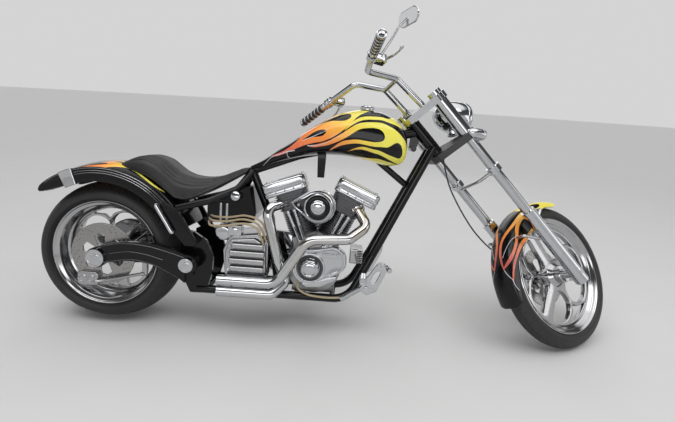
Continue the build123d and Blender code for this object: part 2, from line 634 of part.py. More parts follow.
# Exhaust
END_X = 540.0
PIPE_BORE = PIPE_R - 3.0
BORE_DEEP = 60.0
PIPE_Y = -168.0
UPPER_Z, LOWER_Z = 264.0, 212.0
front_pipe = pipe([(1150, -60, 610), (1196, -122, 548), (1118, -165, 492), (935, PIPE_Y, 478), (806, PIPE_Y, UPPER_Z),
                   (END_X, PIPE_Y, UPPER_Z)], PIPE_R, [42.0, 42.0, 90.0, 90.0])
rear_pipe = pipe([(812, -50, 616), (738, -112, 594), (804, -116, 350), (846, -118, 262), (786, -166, LOWER_Z),
                  (END_X, PIPE_Y, LOWER_Z)], PIPE_R, [44.0, 60.0, 30.0, 34.0])
front_pipe -= rod((END_X - 1, PIPE_Y, UPPER_Z), (END_X + BORE_DEEP, PIPE_Y, UPPER_Z), PIPE_BORE)
rear_pipe -= rod((END_X - 1, PIPE_Y, LOWER_Z), (END_X + BORE_DEEP, PIPE_Y, LOWER_Z), PIPE_BORE)
front_pipe -= cylinders["front"]
rear_pipe -= cylinders["rear"]
front_pipe -= rockers["front"]
rear_pipe -= rockers["rear"]
pipes = [max(one.solids(), key=lambda piece: piece.volume) for one in (front_pipe, rear_pipe)]
add("frame", "exhaust_pipes", Compound(children=pipes))

# Gearbox, starter, primary case, belt drive
case_line = polygon([(552, 262), (752, 262), (752, 436), (700, 466), (570, 452), (540, 380)])
gearbox = side_plate(fillet(case_line.vertices(), 16.0), -GEARBOX_HALF, GEARBOX_HALF)
side_line = polygon([(566, 286), (748, 286), (744, 424), (690, 452), (580, 440), (560, 380)])
gearbox += side_plate(fillet(side_line.vertices(), 20.0), -GEARBOX_HALF, -SIDE_COVER)
for low_z, high_z, x0, x1 in RIBS:
    rib = Pos((x0 + x1) / 2, 0, (low_z + high_z) / 2) * Box(x1 - x0, 2 * RIB_PROUD, high_z - low_z)
    rib = fillet(rib.edges().filter_by(Axis.Y), 7.0)
    gearbox += Pos(0, -SIDE_COVER, 0) * rib
gearbox += across(SPROCKET_X, 86, BELT_Y - PULLEY_HALF, SPROCKET_Z, 22)
gearbox += across(SPROCKET_X, BELT_Y - PULLEY_HALF, BELT_Y + PULLEY_HALF, SPROCKET_Z, SPROCKET_R)
gearbox += Pos(620, 0, 233) * Box(120, 100, 60)
gearbox += Pos(560, 0, 215) * Box(190, 60, 22)
gearbox -= cradle
gearbox -= rear_frame
add("frame", "gearbox", max(gearbox.solids(), key=lambda piece: piece.volume))
starter = across(545, -118, 20, 470, 36) + Pos(600, -92, 484) * Box(62, 56, 50)
starter -= gearbox
starter -= oil_tank
add("frame", "starter", max(starter.solids(), key=lambda piece: piece.volume))
PRIMARY_IN, PRIMARY_OUT = 158.0, 208.0
primary_face = make_hull((Pos(CRANK_X, CRANK_Z) * Circle(92)).edges() + (Pos(640, CRANK_Z) * Circle(112)).edges())
primary = side_plate(primary_face, PRIMARY_IN, PRIMARY_OUT)
primary = fillet(primary.faces().sort_by(Axis.Y)[-1].edges(), 12.0)
primary += across(CRANK_X, CASE_HALF, PRIMARY_IN + 1, CRANK_Z, 84)
primary += across(640, 88, PRIMARY_IN + 1, CRANK_Z, 30)
primary -= gearbox
primary -= case
primary -= cradle
add("frame", "primary_case", max(primary.solids(), key=lambda piece: piece.volume))

big, small = PULLEY_R + BELT_GAP, SPROCKET_R + BELT_GAP
belt_out = make_hull((Pos(0, REAR_R) * Circle(big + BELT_THICK)).edges()
                     + (Pos(SPROCKET_X, SPROCKET_Z) * Circle(small + BELT_THICK)).edges())
belt_in = make_hull((Pos(0, REAR_R) * Circle(big)).edges() + (Pos(SPROCKET_X, SPROCKET_Z) * Circle(small)).edges())
belt = side_plate(belt_out - belt_in, BELT_Y - BELT_HALF, BELT_Y + BELT_HALF)
add("frame", "drive_belt", belt)

# Rear brake
caliper = Pos(-62, -ROTOR_Y_REAR - 1, REAR_R - 114.5) * Box(96, 46, 62)
caliper = fillet(caliper.edges().filter_by(Axis.Y), 16.0)
caliper -= across(0, -ROTOR_Y_REAR - ROTOR_THICK / 2 - 5.2, -ROTOR_Y_REAR + ROTOR_THICK / 2 + 5.2, REAR_R,
                  ROTOR_R + 5.2)
caliper += rod((-30, -144, REAR_R - 128.5), (206, -150, arm_mid_z - 65), 7.0)
caliper += Pos(-34, -138, REAR_R - 128.5) * Box(30, 18, 20)
caliper += Pos(206, -151, arm_mid_z - 27) * Box(22, 10, 90)
add("frame", "rear_caliper", caliper)

# Foot controls
plate = side_plate(fillet(polygon([(1178, 262), (1214, 238), (1258, 258), (1304, 372), (1284, 396), (1256, 392),
                                   (1216, 330)]).vertices(), 9.0), 150, 162)
control = plate + rod((1104, 112, 196), (1204, 152, 276), 14.0)
control += rod((1195, 160, 330), (1186, 286, 342), 15.0)
control += rod((1296, 158, 380), (1300, 240, 384), 8.0)
control += rod((1240, 158, 262), (1262, 158, 262), 7.0)
control += rod((1254, 166, 262), (1312, 186, 262), 7.0)
control -= cradle
add("frame", "foot_controls", both(max(control.solids(), key=lambda piece: piece.volume)))
regulator = Pos(1154, 0, 386) * Box(74, 110, 72)
regulator = fillet(regulator.edges().filter_by(Axis.Y), 8.0)
for level in (364, 379, 394, 409):
    regulator -= Pos(1192, 0, level) * Box(20, 112, 7)
regulator += Pos(1214, 0, 386) * Box(60, 96, 10)
regulator -= downtubes
regulator -= cradle
add("frame", "regulator", max(regulator.solids(), key=lambda piece: piece.volume))

# Fork
COVER_LOW = TREE_LOW + TREE_THICK / 2 - 8
cover_tube = Pos(FORK_OFFSET, LEG_HALF, (COVER_LOW + LEG_TOP) / 2) * Cylinder(COVER_R, LEG_TOP - COVER_LOW)
inner_tube = Pos(FORK_OFFSET, LEG_HALF, (SLIDER_TOP + COVER_LOW) / 2) * Cylinder(STANCHION_R, COVER_LOW - SLIDER_TOP)
leg = cover_tube + inner_tube
slider = Pos(FORK_OFFSET, LEG_HALF, (SLIDER_TOP + LEG_LOW) / 2) * Cylinder(SLIDER_R, SLIDER_TOP - LEG_LOW)
slider -= Plane(origin=(FORK_OFFSET, 0, 0), z_dir=(0, 1, 0)) * Cylinder(AXLE_R, 400)
leg_pair = leg + mirror(leg, Plane.XZ)
slider_pair = slider + mirror(slider, Plane.XZ)


def tree(level, thick):
    """Fork yoke: a plate from the stem to a clamp round each leg."""
    outline = polygon([(-30, -22), (58, -154), (126, -140), (114, -50), (114, 50), (126, 140), (58, 154), (-30, 22)])
    outline += Circle(33)
    outline += Pos(FORK_OFFSET, LEG_HALF) * Circle(COVER_R + 9)
    outline += Pos(FORK_OFFSET, -LEG_HALF) * Circle(COVER_R + 9)
    return Pos(0, 0, level - thick / 2) * extrude(outline, thick)


stem = Pos(0, 0, (TREE_LOW + TREE_HIGH) / 2) * Cylinder(STEM_R, TREE_HIGH - TREE_LOW + TREE_THICK + 12)
top_tree = tree(TREE_HIGH, TREE_THICK) - leg_pair - stem
low_tree = tree(TREE_LOW, TREE_THICK) + stem - leg_pair
brace = pipe([(62, LEG_HALF, 640), (34, 60, 634), (34, -60, 634), (62, -LEG_HALF, 640)], 8.0, 40.0)
for side in (LEG_HALF, -LEG_HALF):
    brace += Pos(FORK_OFFSET, side, 640) * Cylinder(STANCHION_R + 9, 30)
brace -= leg_pair
front_axle = Plane(origin=(FORK_OFFSET, 0, 0), z_dir=(0, 1, 0)) * Cylinder(AXLE_R, 2 * (LEG_HALF + SLIDER_R))
spacer_in = ROTOR_Y_FRONT - ROTOR_THICK / 2 + SIDE_PLAY
for side in (1, -1):
    low = spacer_in + (ROTOR_THICK if side > 0 else 0)
    long = LEG_HALF - SLIDER_R + 12 - low
    front_axle += Plane(origin=(FORK_OFFSET, side * (low + long / 2), 0), z_dir=(0, 1, 0)) * Cylinder(COLLAR_R, long)
front_axle -= slider_pair
for name, shape in (("fork_tubes", leg_pair), ("fork_sliders", slider_pair), ("top_tree", top_tree),
                    ("lower_tree", low_tree), ("fork_brace", brace), ("front_axle", front_axle)):
    add("steering", name, FORK_PLANE * shape)

front_fender = fender(front_centre, FRONT_FENDER_R, FRONT_FENDER_R - 22, FRONT_FENDER_R - 56, FRONT_FENDER_HALF,
                      FRONT_FENDER_WALL, FRONT_FENDER_TAIL, FRONT_FENDER_TIP)
stay_r = FRONT_FENDER_R - 39
for side in (1, -1):
    for angle in (118.0, 152.0):
        a = math.radians(angle)
        at = Vector(WHEELBASE + stay_r * math.cos(a), 0, FRONT_R + stay_r * math.sin(a))
        front_fender += rod(at + Vector(0, side * (FRONT_FENDER_HALF - 2), 0), at + Vector(0, side * (LEG_HALF - 10), 0),
                            FENDER_STAY_R)
        foot = fork_point(FORK_OFFSET - 20, side * (LEG_HALF - 14), 300 if angle < 130 else 230)
        front_fender += rod(at + Vector(0, side * (LEG_HALF - 16), 0), foot, FENDER_STAY_R)
front_fender -= steering["fork_sliders"]
add("steering", "front_fender", max(front_fender.solids(), key=lambda piece: piece.volume))

front_caliper = Pos(FORK_OFFSET - 92, ROTOR_Y_FRONT + 8, 74) * Box(74, 60, 112)
front_caliper = fillet(front_caliper.edges().filter_by(Axis.Y), 18.0)
front_caliper += Pos(FORK_OFFSET - 50, LEG_HALF - 26, 74) * Box(60, 24, 70)
disc_space = Plane(origin=(FORK_OFFSET, ROTOR_Y_FRONT, 0), z_dir=(0, 1, 0)) * Cylinder(ROTOR_R + 5.2, ROTOR_THICK + 10.4)
front_caliper -= disc_space
front_caliper -= slider_pair
front_caliper = FORK_PLANE * front_caliper
add("steering", "front_caliper", max(front_caliper.solids(), key=lambda piece: piece.volume))

LAMP = Vector(1612.0, 0, 1100.0)
lamp_line = Polyline((-98, 0), (-84, 40), (-40, 70), (20, 80), (62, 80), (66, 74), (72, 0))
lamp_face = make_face(lamp_line + Line((72, 0), (-98, 0)))
headlight = Plane(origin=LAMP, x_dir=(1, 0, 0), z_dir=(0, -1, 0)) * lamp_face
headlight = revolve(headlight, axis=Axis(LAMP, (1, 0, 0)), revolution_arc=360)
headlight += rod((1604, 0, 1035), fork_point(104, 0, TREE_LOW + 10), 11.0)
headlight -= steering["lower_tree"]
add("steering", "headlight", max(headlight.solids(), key=lambda piece: piece.volume))
signal_line = make_face(Polyline((-44, 0), (-34, 17), (0, 25), (40, 25), (50, 16), (54, 0), close=True))
signal_at = Vector(1594, 154, 940)
signal = revolve(Plane(origin=signal_at, x_dir=(1, 0, 0), z_dir=(0, -1, 0)) * signal_line,
                 axis=Axis(signal_at, (1, 0, 0)), revolution_arc=360)
signal += rod(signal_at, fork_point(FORK_OFFSET, LEG_HALF + 20, TREE_LOW), 8.0)
signal -= steering["lower_tree"]
signal -= steering["fork_tubes"]
add("steering", "turn_signals", both(max(signal.solids(), key=lambda piece: piece.volume)))

bar_foot = fork_point(65, 52, TREE_HIGH + TREE_THICK / 2)
bar_line = [bar_foot, (1264, 48, 1194), (1108, 52, 1186), (1062, 150, 1160), (982, 352, 1112)]
bar = pipe(bar_line, BAR_R, 34.0)
bars = bar + mirror(bar, Plane.XZ) + across(1264, -50, 50, 1190, 11.0)
bars -= steering["top_tree"]
add("steering", "handlebar", bars)
GRIP_IN = Vector(1036, 216, 1144.5)
GRIP_END = Vector(978, 362, 1109.6)
grip = rod(GRIP_IN, GRIP_END, GRIP_R)
grip -= bars
hand = rod((1052, 176, 1154.5), (1040, 206, 1147), BAR_R + 9) + Pos(1086, 178, 1158) * Box(56, 40, 32)
hand += rod((1100, 186, 1152), (1086, 330, 1112), 6.0)
hand -= bars
hand -= grip
left_hand = max(hand.solids(), key=lambda piece: piece.volume)
right_hand = mirror(left_hand, Plane.XZ)
add("steering", "grips", both(grip))
add("steering", "hand_controls", Compound(children=[left_hand, right_hand]))
mirror_stem = rod((1092, -180, 1172), (1132, -262, 1262), 5.0) + rod((1132, -262, 1262), (1150, -300, 1282), 5.0)
mirror_head = Plane(origin=(1150, -302, 1286), x_dir=(0, 1, 0.3), z_dir=(1, 0, 0.25)) * extrude(SlotOverall(118, 62), 16)
mirror_piece = mirror_stem + mirror_head
mirror_piece -= right_hand
add("steering", "mirror", max(mirror_piece.solids(), key=lambda piece: piece.volume))

def hose(points, radius):
    """A held hose: straight runs joined by arcs as large as their runs allow."""
    knots = [Vector(p) for p in points]
    radii = []
    for before, at, after in zip(knots, knots[1:], knots[2:]):
        turn = math.radians((at - before).get_angle(after - at))
        radii.append(0.45 * min((at - before).length, (after - at).length) / math.tan(turn / 2))
    path = FilletPolyline(*knots, radius=radii)
    start = Plane(origin=path @ 0, z_dir=path % 0)
    return sweep(start * Circle(radius), path=path)


HOSE_R = 5.0
BRAKE_HOSE_R = 3.5
brake_line = [(1114, -178, 1158), (1180, -165, 1168), (1262, -120, 1158), (1352, -78, 1104), (1432, -66, 1022),
              (1500, -30, 945), (1560, 30, 868), (1616, 74, 770), (1690, 92, 662), (1760, 92, 560), (1850, 90, 480),
              (1960, 86, 430), (2032, 82, 392)]
brake_hose = hose(brake_line, BRAKE_HOSE_R)
for name in ("hand_controls", "front_caliper", "lower_tree", "top_tree", "fork_brace", "front_fender",
             "fork_sliders", "fork_tubes"):
    brake_hose -= steering[name]
add("steering", "brake_hose", max(brake_hose.solids(), key=lambda piece: piece.volume))
oil_routes = [
    [(476, -100, 520), (492, -116, 500), (560, -124, 504), (640, -126, 520), (700, -126, 504), (726, -124, 452),
     (733, -118, 420)],
    [(906, -104, 284), (898, -114, 236), (946, -122, 208), (1030, -124, 200), (1108, -116, 202)],
]
lines = hose(oil_routes[0], HOSE_R) + hose(oil_routes[1], HOSE_R)
for name in ("oil_tank", "gearbox", "cradle", "cam_cover", "foot_controls", "crankcase", "starter", "exhaust_pipes",
             "downtubes"):
    lines -= chassis[name]
add("frame", "oil_lines", lines)

# Stance: the front turned to its stop, the whole leaned, the front lowered on to the floor
lean = math.radians(LEAN)
REAR_CENTRE = Vector(0, 0, REAR_R)


def turned(v, pitch):
    """A direction after the pitch about the axle and the lean on to the stand."""
    x = v.X * math.cos(pitch) + v.Z * math.sin(pitch)
    z = v.Z * math.cos(pitch) - v.X * math.sin(pitch)
    return Vector(x, v.Y * math.cos(lean) + z * math.sin(lean), z * math.cos(lean) - v.Y * math.sin(lean))


def crown(outer_r, shoulder_half, shoulder_r):
    """Radius of a tyre's round crown."""
    rise = outer_r - shoulder_r
    return (shoulder_half ** 2 + rise ** 2) / (2 * rise)


def lowest(centre, axle, outer_r, crown_r):
    """Height of the lowest point of a leaned tyre."""
    return centre.Z - (outer_r - crown_r) * math.sqrt(1 - axle.Z ** 2) - crown_r


def steered(v, angle=STEER_LEFT):
    """A direction of the front assembly turned about the steering axis."""
    a = math.radians(angle)
    along = STEER_UP * STEER_UP.dot(v)
    return along + (v - along) * math.cos(a) + STEER_UP.cross(v) * math.sin(a)


front_steered = STEER_FOOT + steered(FRONT_AXLE - STEER_FOOT)
front_spin = steered(Vector(0, 1, 0))
rear_crown = crown(REAR_R, REAR_SHOULDER_HALF, REAR_SHOULDER_R)
front_crown = crown(FRONT_R, FRONT_SHOULDER_HALF, FRONT_SHOULDER_R)
rear_low = lowest(REAR_CENTRE, turned(Vector(0, 1, 0), 0), REAR_R, rear_crown)
low, high = -0.1, 0.1
for _ in range(50):
    pitch = (low + high) / 2
    centre = turned(front_steered - REAR_CENTRE, pitch) + REAR_CENTRE
    if lowest(centre, turned(front_spin, pitch), FRONT_R, front_crown) > rear_low:
        low = pitch
    else:
        high = pitch
floor_up = Vector(*[turned(v, pitch).Z for v in (Vector(1, 0, 0), Vector(0, 1, 0), Vector(0, 0, 1))])


def floor_height(x, y):
    """Height of the floor in the drawn frame under a point."""
    return REAR_R + (rear_low - REAR_R - floor_up.X * x - floor_up.Y * y) / floor_up.Z


# Side stand
stand_top = Vector(*STAND_PIVOT)
stand_foot = Vector(STAND_FOOT_X, STAND_FOOT_Y, floor_height(STAND_FOOT_X, STAND_FOOT_Y))
down = (stand_foot - stand_top).normalized()
fold = Vector(*STAND_FOLD).normalized()
STAND_AXIS = down.cross(fold).normalized()
STAND_FOLD_ANGLE = down.get_angle(fold)
PIN_R = 8.0
EYE_R = 17.0
EYE_HALF = 11.0
eye = rod(stand_top - STAND_AXIS * EYE_HALF, stand_top + STAND_AXIS * EYE_HALF, EYE_R)
stand_leg = rod(stand_top + down * 6, stand_foot + floor_up * (FOOT_THICK + 2), STAND_R)
foot_pad = Plane(origin=stand_foot + floor_up * (FOOT_THICK / 2), z_dir=floor_up) * Cylinder(FOOT_R, FOOT_THICK)
stand = eye + stand_leg + foot_pad
stand -= rod(stand_top - STAND_AXIS * 40, stand_top + STAND_AXIS * 40, PIN_R + AXLE_RUN)
pin = rod(stand_top - STAND_AXIS * 34, stand_top + STAND_AXIS * (EYE_HALF + 3), PIN_R)
bracket_end = stand_top - STAND_AXIS * 28
bracket = pin + rod((STAND_PIVOT[0], 100, CRADLE_Z - 14), bracket_end, 9.0)
bracket += rod(bracket_end - STAND_AXIS * 8, bracket_end + STAND_AXIS * 8, 14.0)
chassis["cradle"] = cradle + bracket
add("side_stand", "side_stand", stand)

steer_axis = Axis(STEER_FOOT, STEER_UP)
placed = {}
for name, shape in chassis.items():
    placed[name] = shape
for name, shape in steering.items():
    placed[name] = shape.rotate(steer_axis, STEER_LEFT)
for name, shape in placed.items():
    shape = shape.rotate(Axis(REAR_CENTRE, (0, 1, 0)), math.degrees(pitch))
    shape = shape.rotate(Axis(REAR_CENTRE, (1, 0, 0)), -LEAN)
    placed[name] = shape
reach = Compound(children=[piece for shape in placed.values() for piece in shape.solids()]).bounding_box()
SHIFT = Vector(-(reach.min.X + reach.max.X) / 2, -(reach.min.Y + reach.max.Y) / 2, -rear_low)


def stands_at(point, front=False):
    """Where a drawn point is on the standing machine."""
    p = STEER_FOOT + steered(Vector(point) - STEER_FOOT) if front else Vector(point)
    return turned(p - REAR_CENTRE, pitch) + REAR_CENTRE + SHIFT


def points_along(direction, front=False):
    """Where a drawn direction points on the standing machine."""
    return turned(steered(Vector(direction)) if front else Vector(direction), pitch)


for name, shape in placed.items():
    export_step(shape.translate(SHIFT), "parts/" + name + ".step")
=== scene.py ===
import json
import math

import bmesh
import bpy
import numpy as np
from mathutils import Matrix, Vector
from mathutils.geometry import delaunay_2d_cdt


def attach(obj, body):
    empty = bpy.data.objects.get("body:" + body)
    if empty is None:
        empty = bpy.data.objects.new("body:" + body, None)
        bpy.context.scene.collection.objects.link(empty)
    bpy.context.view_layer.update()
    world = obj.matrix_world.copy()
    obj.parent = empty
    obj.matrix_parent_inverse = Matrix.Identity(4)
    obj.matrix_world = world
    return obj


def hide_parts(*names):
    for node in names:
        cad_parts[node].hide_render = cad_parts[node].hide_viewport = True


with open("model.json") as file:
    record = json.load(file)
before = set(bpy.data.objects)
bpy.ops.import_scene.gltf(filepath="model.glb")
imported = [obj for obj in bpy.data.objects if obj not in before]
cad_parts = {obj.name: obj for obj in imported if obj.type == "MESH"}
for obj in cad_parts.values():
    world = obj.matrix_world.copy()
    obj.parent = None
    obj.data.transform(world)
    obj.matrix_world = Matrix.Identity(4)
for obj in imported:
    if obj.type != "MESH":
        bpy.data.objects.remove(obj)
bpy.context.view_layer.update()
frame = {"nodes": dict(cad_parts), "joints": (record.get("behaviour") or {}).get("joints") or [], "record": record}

bl_info = {
    "name": "Long Raked Motorcycle",
    "version": (1, 0, 0),
    "blender": (4, 5, 0),
    "location": "View3D > Sidebar > Motorcycle",
    "description": "Paint, chrome, tyres, seat and fittings for a long raked motorcycle",
    "category": "Object",
}

MM = 0.001
# Points nearer than this, in metres, are welded
SAME_PLACE = 1e-6

# Sizes of the drawn machine in millimetres: X forward, Y to the rider's left, Z up,
# the origin on the floor under the rear axle, upright and steered straight ahead
RAKE = math.radians(44.5)
STEER_LEFT = math.radians(38.0)
WHEELBASE = 2165.0
FORK_OFFSET = 95.0
REAR_R = 328.5
FRONT_R = 347.5
LEG_HALF = 120.0

JOINTS = {joint["name"]: joint for joint in frame["joints"]}


def unit(v):
    """A direction of length one."""
    v = np.asarray(v, float)
    return v / np.linalg.norm(v)


def turn_about(axis, angle, point):
    """Rotation of angle about an axis through a point, as a 4 by 4 array."""
    m = np.eye(4)
    m[:3, :3] = np.array(Matrix.Rotation(angle, 3, tuple(unit(axis))))
    m[:3, 3] = np.asarray(point) - m[:3, :3] @ np.asarray(point)
    return m


def frame_of(x, y, z, place):
    """The 4 by 4 array whose axes run along x, y and z from a place."""
    m = np.eye(4)
    m[:3, :3] = np.stack([x, y, z], 1)
    m[:3, 3] = place
    return m


def stance():
    """The matrix that stands the drawn machine as it parks: left is the rear axle, and ahead and up are
    turned by the rake from the steering axis and from the direction that lies across it."""
    left = unit(JOINTS["rear_wheel_spin"]["axis"])
    steer = unit(JOINTS["steering_turn"]["axis"])
    fore = unit(np.cross(left, steer))
    ahead = math.cos(RAKE) * fore - math.sin(RAKE) * steer
    up = math.sin(RAKE) * fore + math.cos(RAKE) * steer
    axle = np.array(JOINTS["rear_wheel_spin"]["pos_m"])
    return frame_of(ahead, left, up, axle - up * (REAR_R * MM))


CHASSIS = stance()
STEER_UP = np.array([-math.sin(RAKE), 0, math.cos(RAKE)])
FORE = np.array([math.cos(RAKE), 0, math.sin(RAKE)])
REAR_AXLE = np.array([0, 0, REAR_R])
FRONT_AXLE = np.array([WHEELBASE, 0, FRONT_R])
STEER_FOOT = FRONT_AXLE - FORE * FORK_OFFSET
FRONT = CHASSIS @ turn_about(STEER_UP, STEER_LEFT, STEER_FOOT * MM)
PLACES = {"frame": CHASSIS, "rear_wheel": CHASSIS, "steering": FRONT, "front_wheel": FRONT}


def fork_point(fore, y, up):
    """A drawn point given by its distance ahead of the steering axis, side and height along it."""
    return STEER_FOOT + FORE * fore + np.array([0, y, 0]) + STEER_UP * up


def stand_up(points, place):
    """Drawn points in millimetres to places on the parked machine in metres."""
    p = np.asarray(points, float).reshape(-1, 3) * MM
    return p @ place[:3, :3].T + place[:3, 3]


# Curves and grids

def smooth_table(xs, ys, x):
    """Monotone cubic through a table: slopes are the weighted harmonic mean of the neighbours'."""
    xs, ys, x = np.asarray(xs, float), np.asarray(ys, float), np.asarray(x, float)
    h = np.diff(xs)
    d = np.diff(ys) / h
    m = np.zeros(len(xs))
    w1, w2 = 2 * h[1:] + h[:-1], h[1:] + 2 * h[:-1]
    same = d[:-1] * d[1:] > 0
    m[1:-1][same] = ((w1 + w2)[same]) / (w1[same] / d[:-1][same] + w2[same] / d[1:][same])
    m[0], m[-1] = d[0], d[-1]
    k = np.clip(np.searchsorted(xs, x) - 1, 0, len(h) - 1)
    t = (x - xs[k]) / h[k]
    return ((2 * t**3 - 3 * t**2 + 1) * ys[k] + (t**3 - 2 * t**2 + t) * h[k] * m[k]
            + (3 * t**2 - 2 * t**3) * ys[k + 1] + (t**3 - t**2) * h[k] * m[k + 1])


def rounded_line(points, steps, closed=False):
    """Catmull-Rom curve through points, steps samples on each span."""
    p = np.asarray(points, float)
    if closed:
        q = np.concatenate([p[-1:], p, p[:2]])
    else:
        q = np.concatenate([2 * p[:1] - p[1:2], p, 2 * p[-1:] - p[-2:-1]])
    t = np.linspace(0, 1, steps, endpoint=False)[None, :, None]
    a, b, c, d = (q[i:len(q) - 3 + i][:, None, :] for i in range(4))
    line = 0.5 * (2 * b + (c - a) * t + (2 * a - 5 * b + 4 * c - d) * t**2
                  + (3 * b - a - 3 * c + d) * t**3)
    line = line.reshape(-1, p.shape[1])
    return line if closed else np.concatenate([line, p[-1:]])


def even_line(points, step):
    """The same line with samples an even step apart."""
    p = np.asarray(points, float)
    s = np.concatenate([[0], np.cumsum(np.linalg.norm(np.diff(p, axis=0), axis=1))])
    n = max(2, int(round(s[-1] / step)) + 1)
    want = np.linspace(0, s[-1], n)
    return np.stack([np.interp(want, s, p[:, k]) for k in range(p.shape[1])], 1)


def grid_faces(rows, columns, wrap_rows=False, wrap_columns=False, start=0):
    """Quads of a grid of rows by columns, joined round where asked."""
    i = np.arange(rows if wrap_rows else rows - 1)
    j = np.arange(columns if wrap_columns else columns - 1)
    a, b = (m.ravel() for m in np.meshgrid(i, j, indexing="ij"))
    a1, b1 = (a + 1) % rows, (b + 1) % columns
    quads = np.stack([a * columns + b, a1 * columns + b, a1 * columns + b1, a * columns + b1], 1) + start
    return [tuple(quad) for quad in quads.tolist()]


def end_faces(rows, columns):
    """The two flat ends of a grid whose columns are joined round."""
    return [tuple(range(columns))[::-1], tuple(range((rows - 1) * columns, rows * columns))]


def closed_faces(rows, columns):
    """A grid joined round, with both of its ends."""
    return grid_faces(rows, columns, wrap_columns=True) + end_faces(rows, columns)


def lathe(profile, sides, axis, origin):
    """Surface of turning: a profile of (along, radius) carried round an axis by an even angle.
    Point = origin + along * axis + radius * (cos a * e1 + sin a * e2)."""
    axis = unit(axis)
    helper = np.array([0, 0, 1.0]) if abs(axis[2]) < 0.9 else np.array([1.0, 0, 0])
    e1 = unit(np.cross(helper, axis))
    e2 = np.cross(axis, e1)
    a = np.linspace(0, 2 * math.pi, sides, endpoint=False)
    ring = np.cos(a)[:, None] * e1 + np.sin(a)[:, None] * e2
    p = np.asarray(profile, float)
    points = np.asarray(origin, float) + p[None, :, :1] * axis + p[None, :, 1:] * ring[:, None, :]
    return points.reshape(-1, 3), grid_faces(sides, len(p), wrap_rows=True)


def tube(line, radius, sides, caps=True):
    """A circle carried along a line: each ring lies across the line's direction, and the frame is
    carried from ring to ring without twist. Radius is one number or one for each point."""
    p = np.asarray(line, float)
    r = np.broadcast_to(np.asarray(radius, float), (len(p),))
    t = np.gradient(p, axis=0)
    t /= np.linalg.norm(t, axis=1)[:, None]
    n = np.zeros_like(p)
    first = np.cross(t[0], [0, 0, 1.0])
    if np.linalg.norm(first) < 1e-3:
        first = np.cross(t[0], [1.0, 0, 0])
    n[0] = unit(first)
    for k in range(1, len(p)):
        v = n[k - 1] - t[k] * (n[k - 1] @ t[k])
        n[k] = v / np.linalg.norm(v)
    b = np.cross(t, n)
    a = np.linspace(0, 2 * math.pi, sides, endpoint=False)
    across = np.cos(a)[None, :, None] * n[:, None] + np.sin(a)[None, :, None] * b[:, None]
    points = (p[:, None] + r[:, None, None] * across).reshape(-1, 3)
    faces = [quad[::-1] for quad in grid_faces(len(p), sides, wrap_columns=True)]
    return points, faces + (end_faces(len(p), sides) if caps else [])


def place_on(shape, origin, u=(1, 0, 0), v=(0, 0, 1)):
    """Points given as (u, v, w) set in space: u and v run along two directions, w along their cross."""
    points, faces = shape
    u, v = unit(u), unit(v)
    return np.asarray(points, float) @ np.stack([u, v, np.cross(u, v)]) + np.asarray(origin, float), faces


def on_right(shape, x=0.0, z=0.0):
    """A flat shape set beside the machine's middle: its w runs towards the right."""
    return place_on(shape, (x, 0.0, z))


def mirrored(shape):
    """The same shape on the other side of the machine."""
    points, faces = shape
    return np.asarray(points, float) * [1, -1, 1], [tuple(f)[::-1] for f in faces]


def with_twin(shape):
    """A shape and its twin on the other side."""
    return joined(shape, mirrored(shape))


def disc_line(radius, count, x=0.0, z=0.0):
    """A circle as an outline."""
    a = np.linspace(0, 2 * math.pi, count, endpoint=False)
    return np.stack([x + radius * np.cos(a), z + radius * np.sin(a)], 1)


def polar_point(radius, degrees):
    """A flat point from its radius and angle."""
    return radius * math.cos(math.radians(degrees)), radius * math.sin(math.radians(degrees))


# Half the angle at a corner, in radians, from which the corner is left as it is
NEARLY_STRAIGHT = 1.54


def rounded_polygon(points, radius, steps=5):
    """An outline whose corners are arcs that touch both sides: the arc starts radius * tan(turn / 2)
    before the corner, or at 0.48 of the shorter side where that is less."""
    p = np.asarray(points, float)
    out = []
    for before, at, after in zip(np.roll(p, 1, 0), p, np.roll(p, -1, 0)):
        a, b = unit(before - at), unit(after - at)
        half = math.acos(np.clip(a @ b, -1, 1)) / 2
        if half > NEARLY_STRAIGHT:
            out.append(at)
            continue
        shorter = min(np.linalg.norm(before - at), np.linalg.norm(after - at))
        reach = min(radius / math.tan(half), 0.48 * shorter)
        t = np.linspace(0, 1, steps + 1)[:, None]
        out += list((1 - t) ** 2 * (at + a * reach) + 2 * t * (1 - t) * at + t**2 * (at + b * reach))
    return np.array(out)


def box_line(wide, high, radius, steps=5):
    """A rounded rectangle about the origin."""
    x, z = wide / 2, high / 2
    return rounded_polygon([(-x, -z), (x, -z), (x, z), (-x, z)], radius, steps)


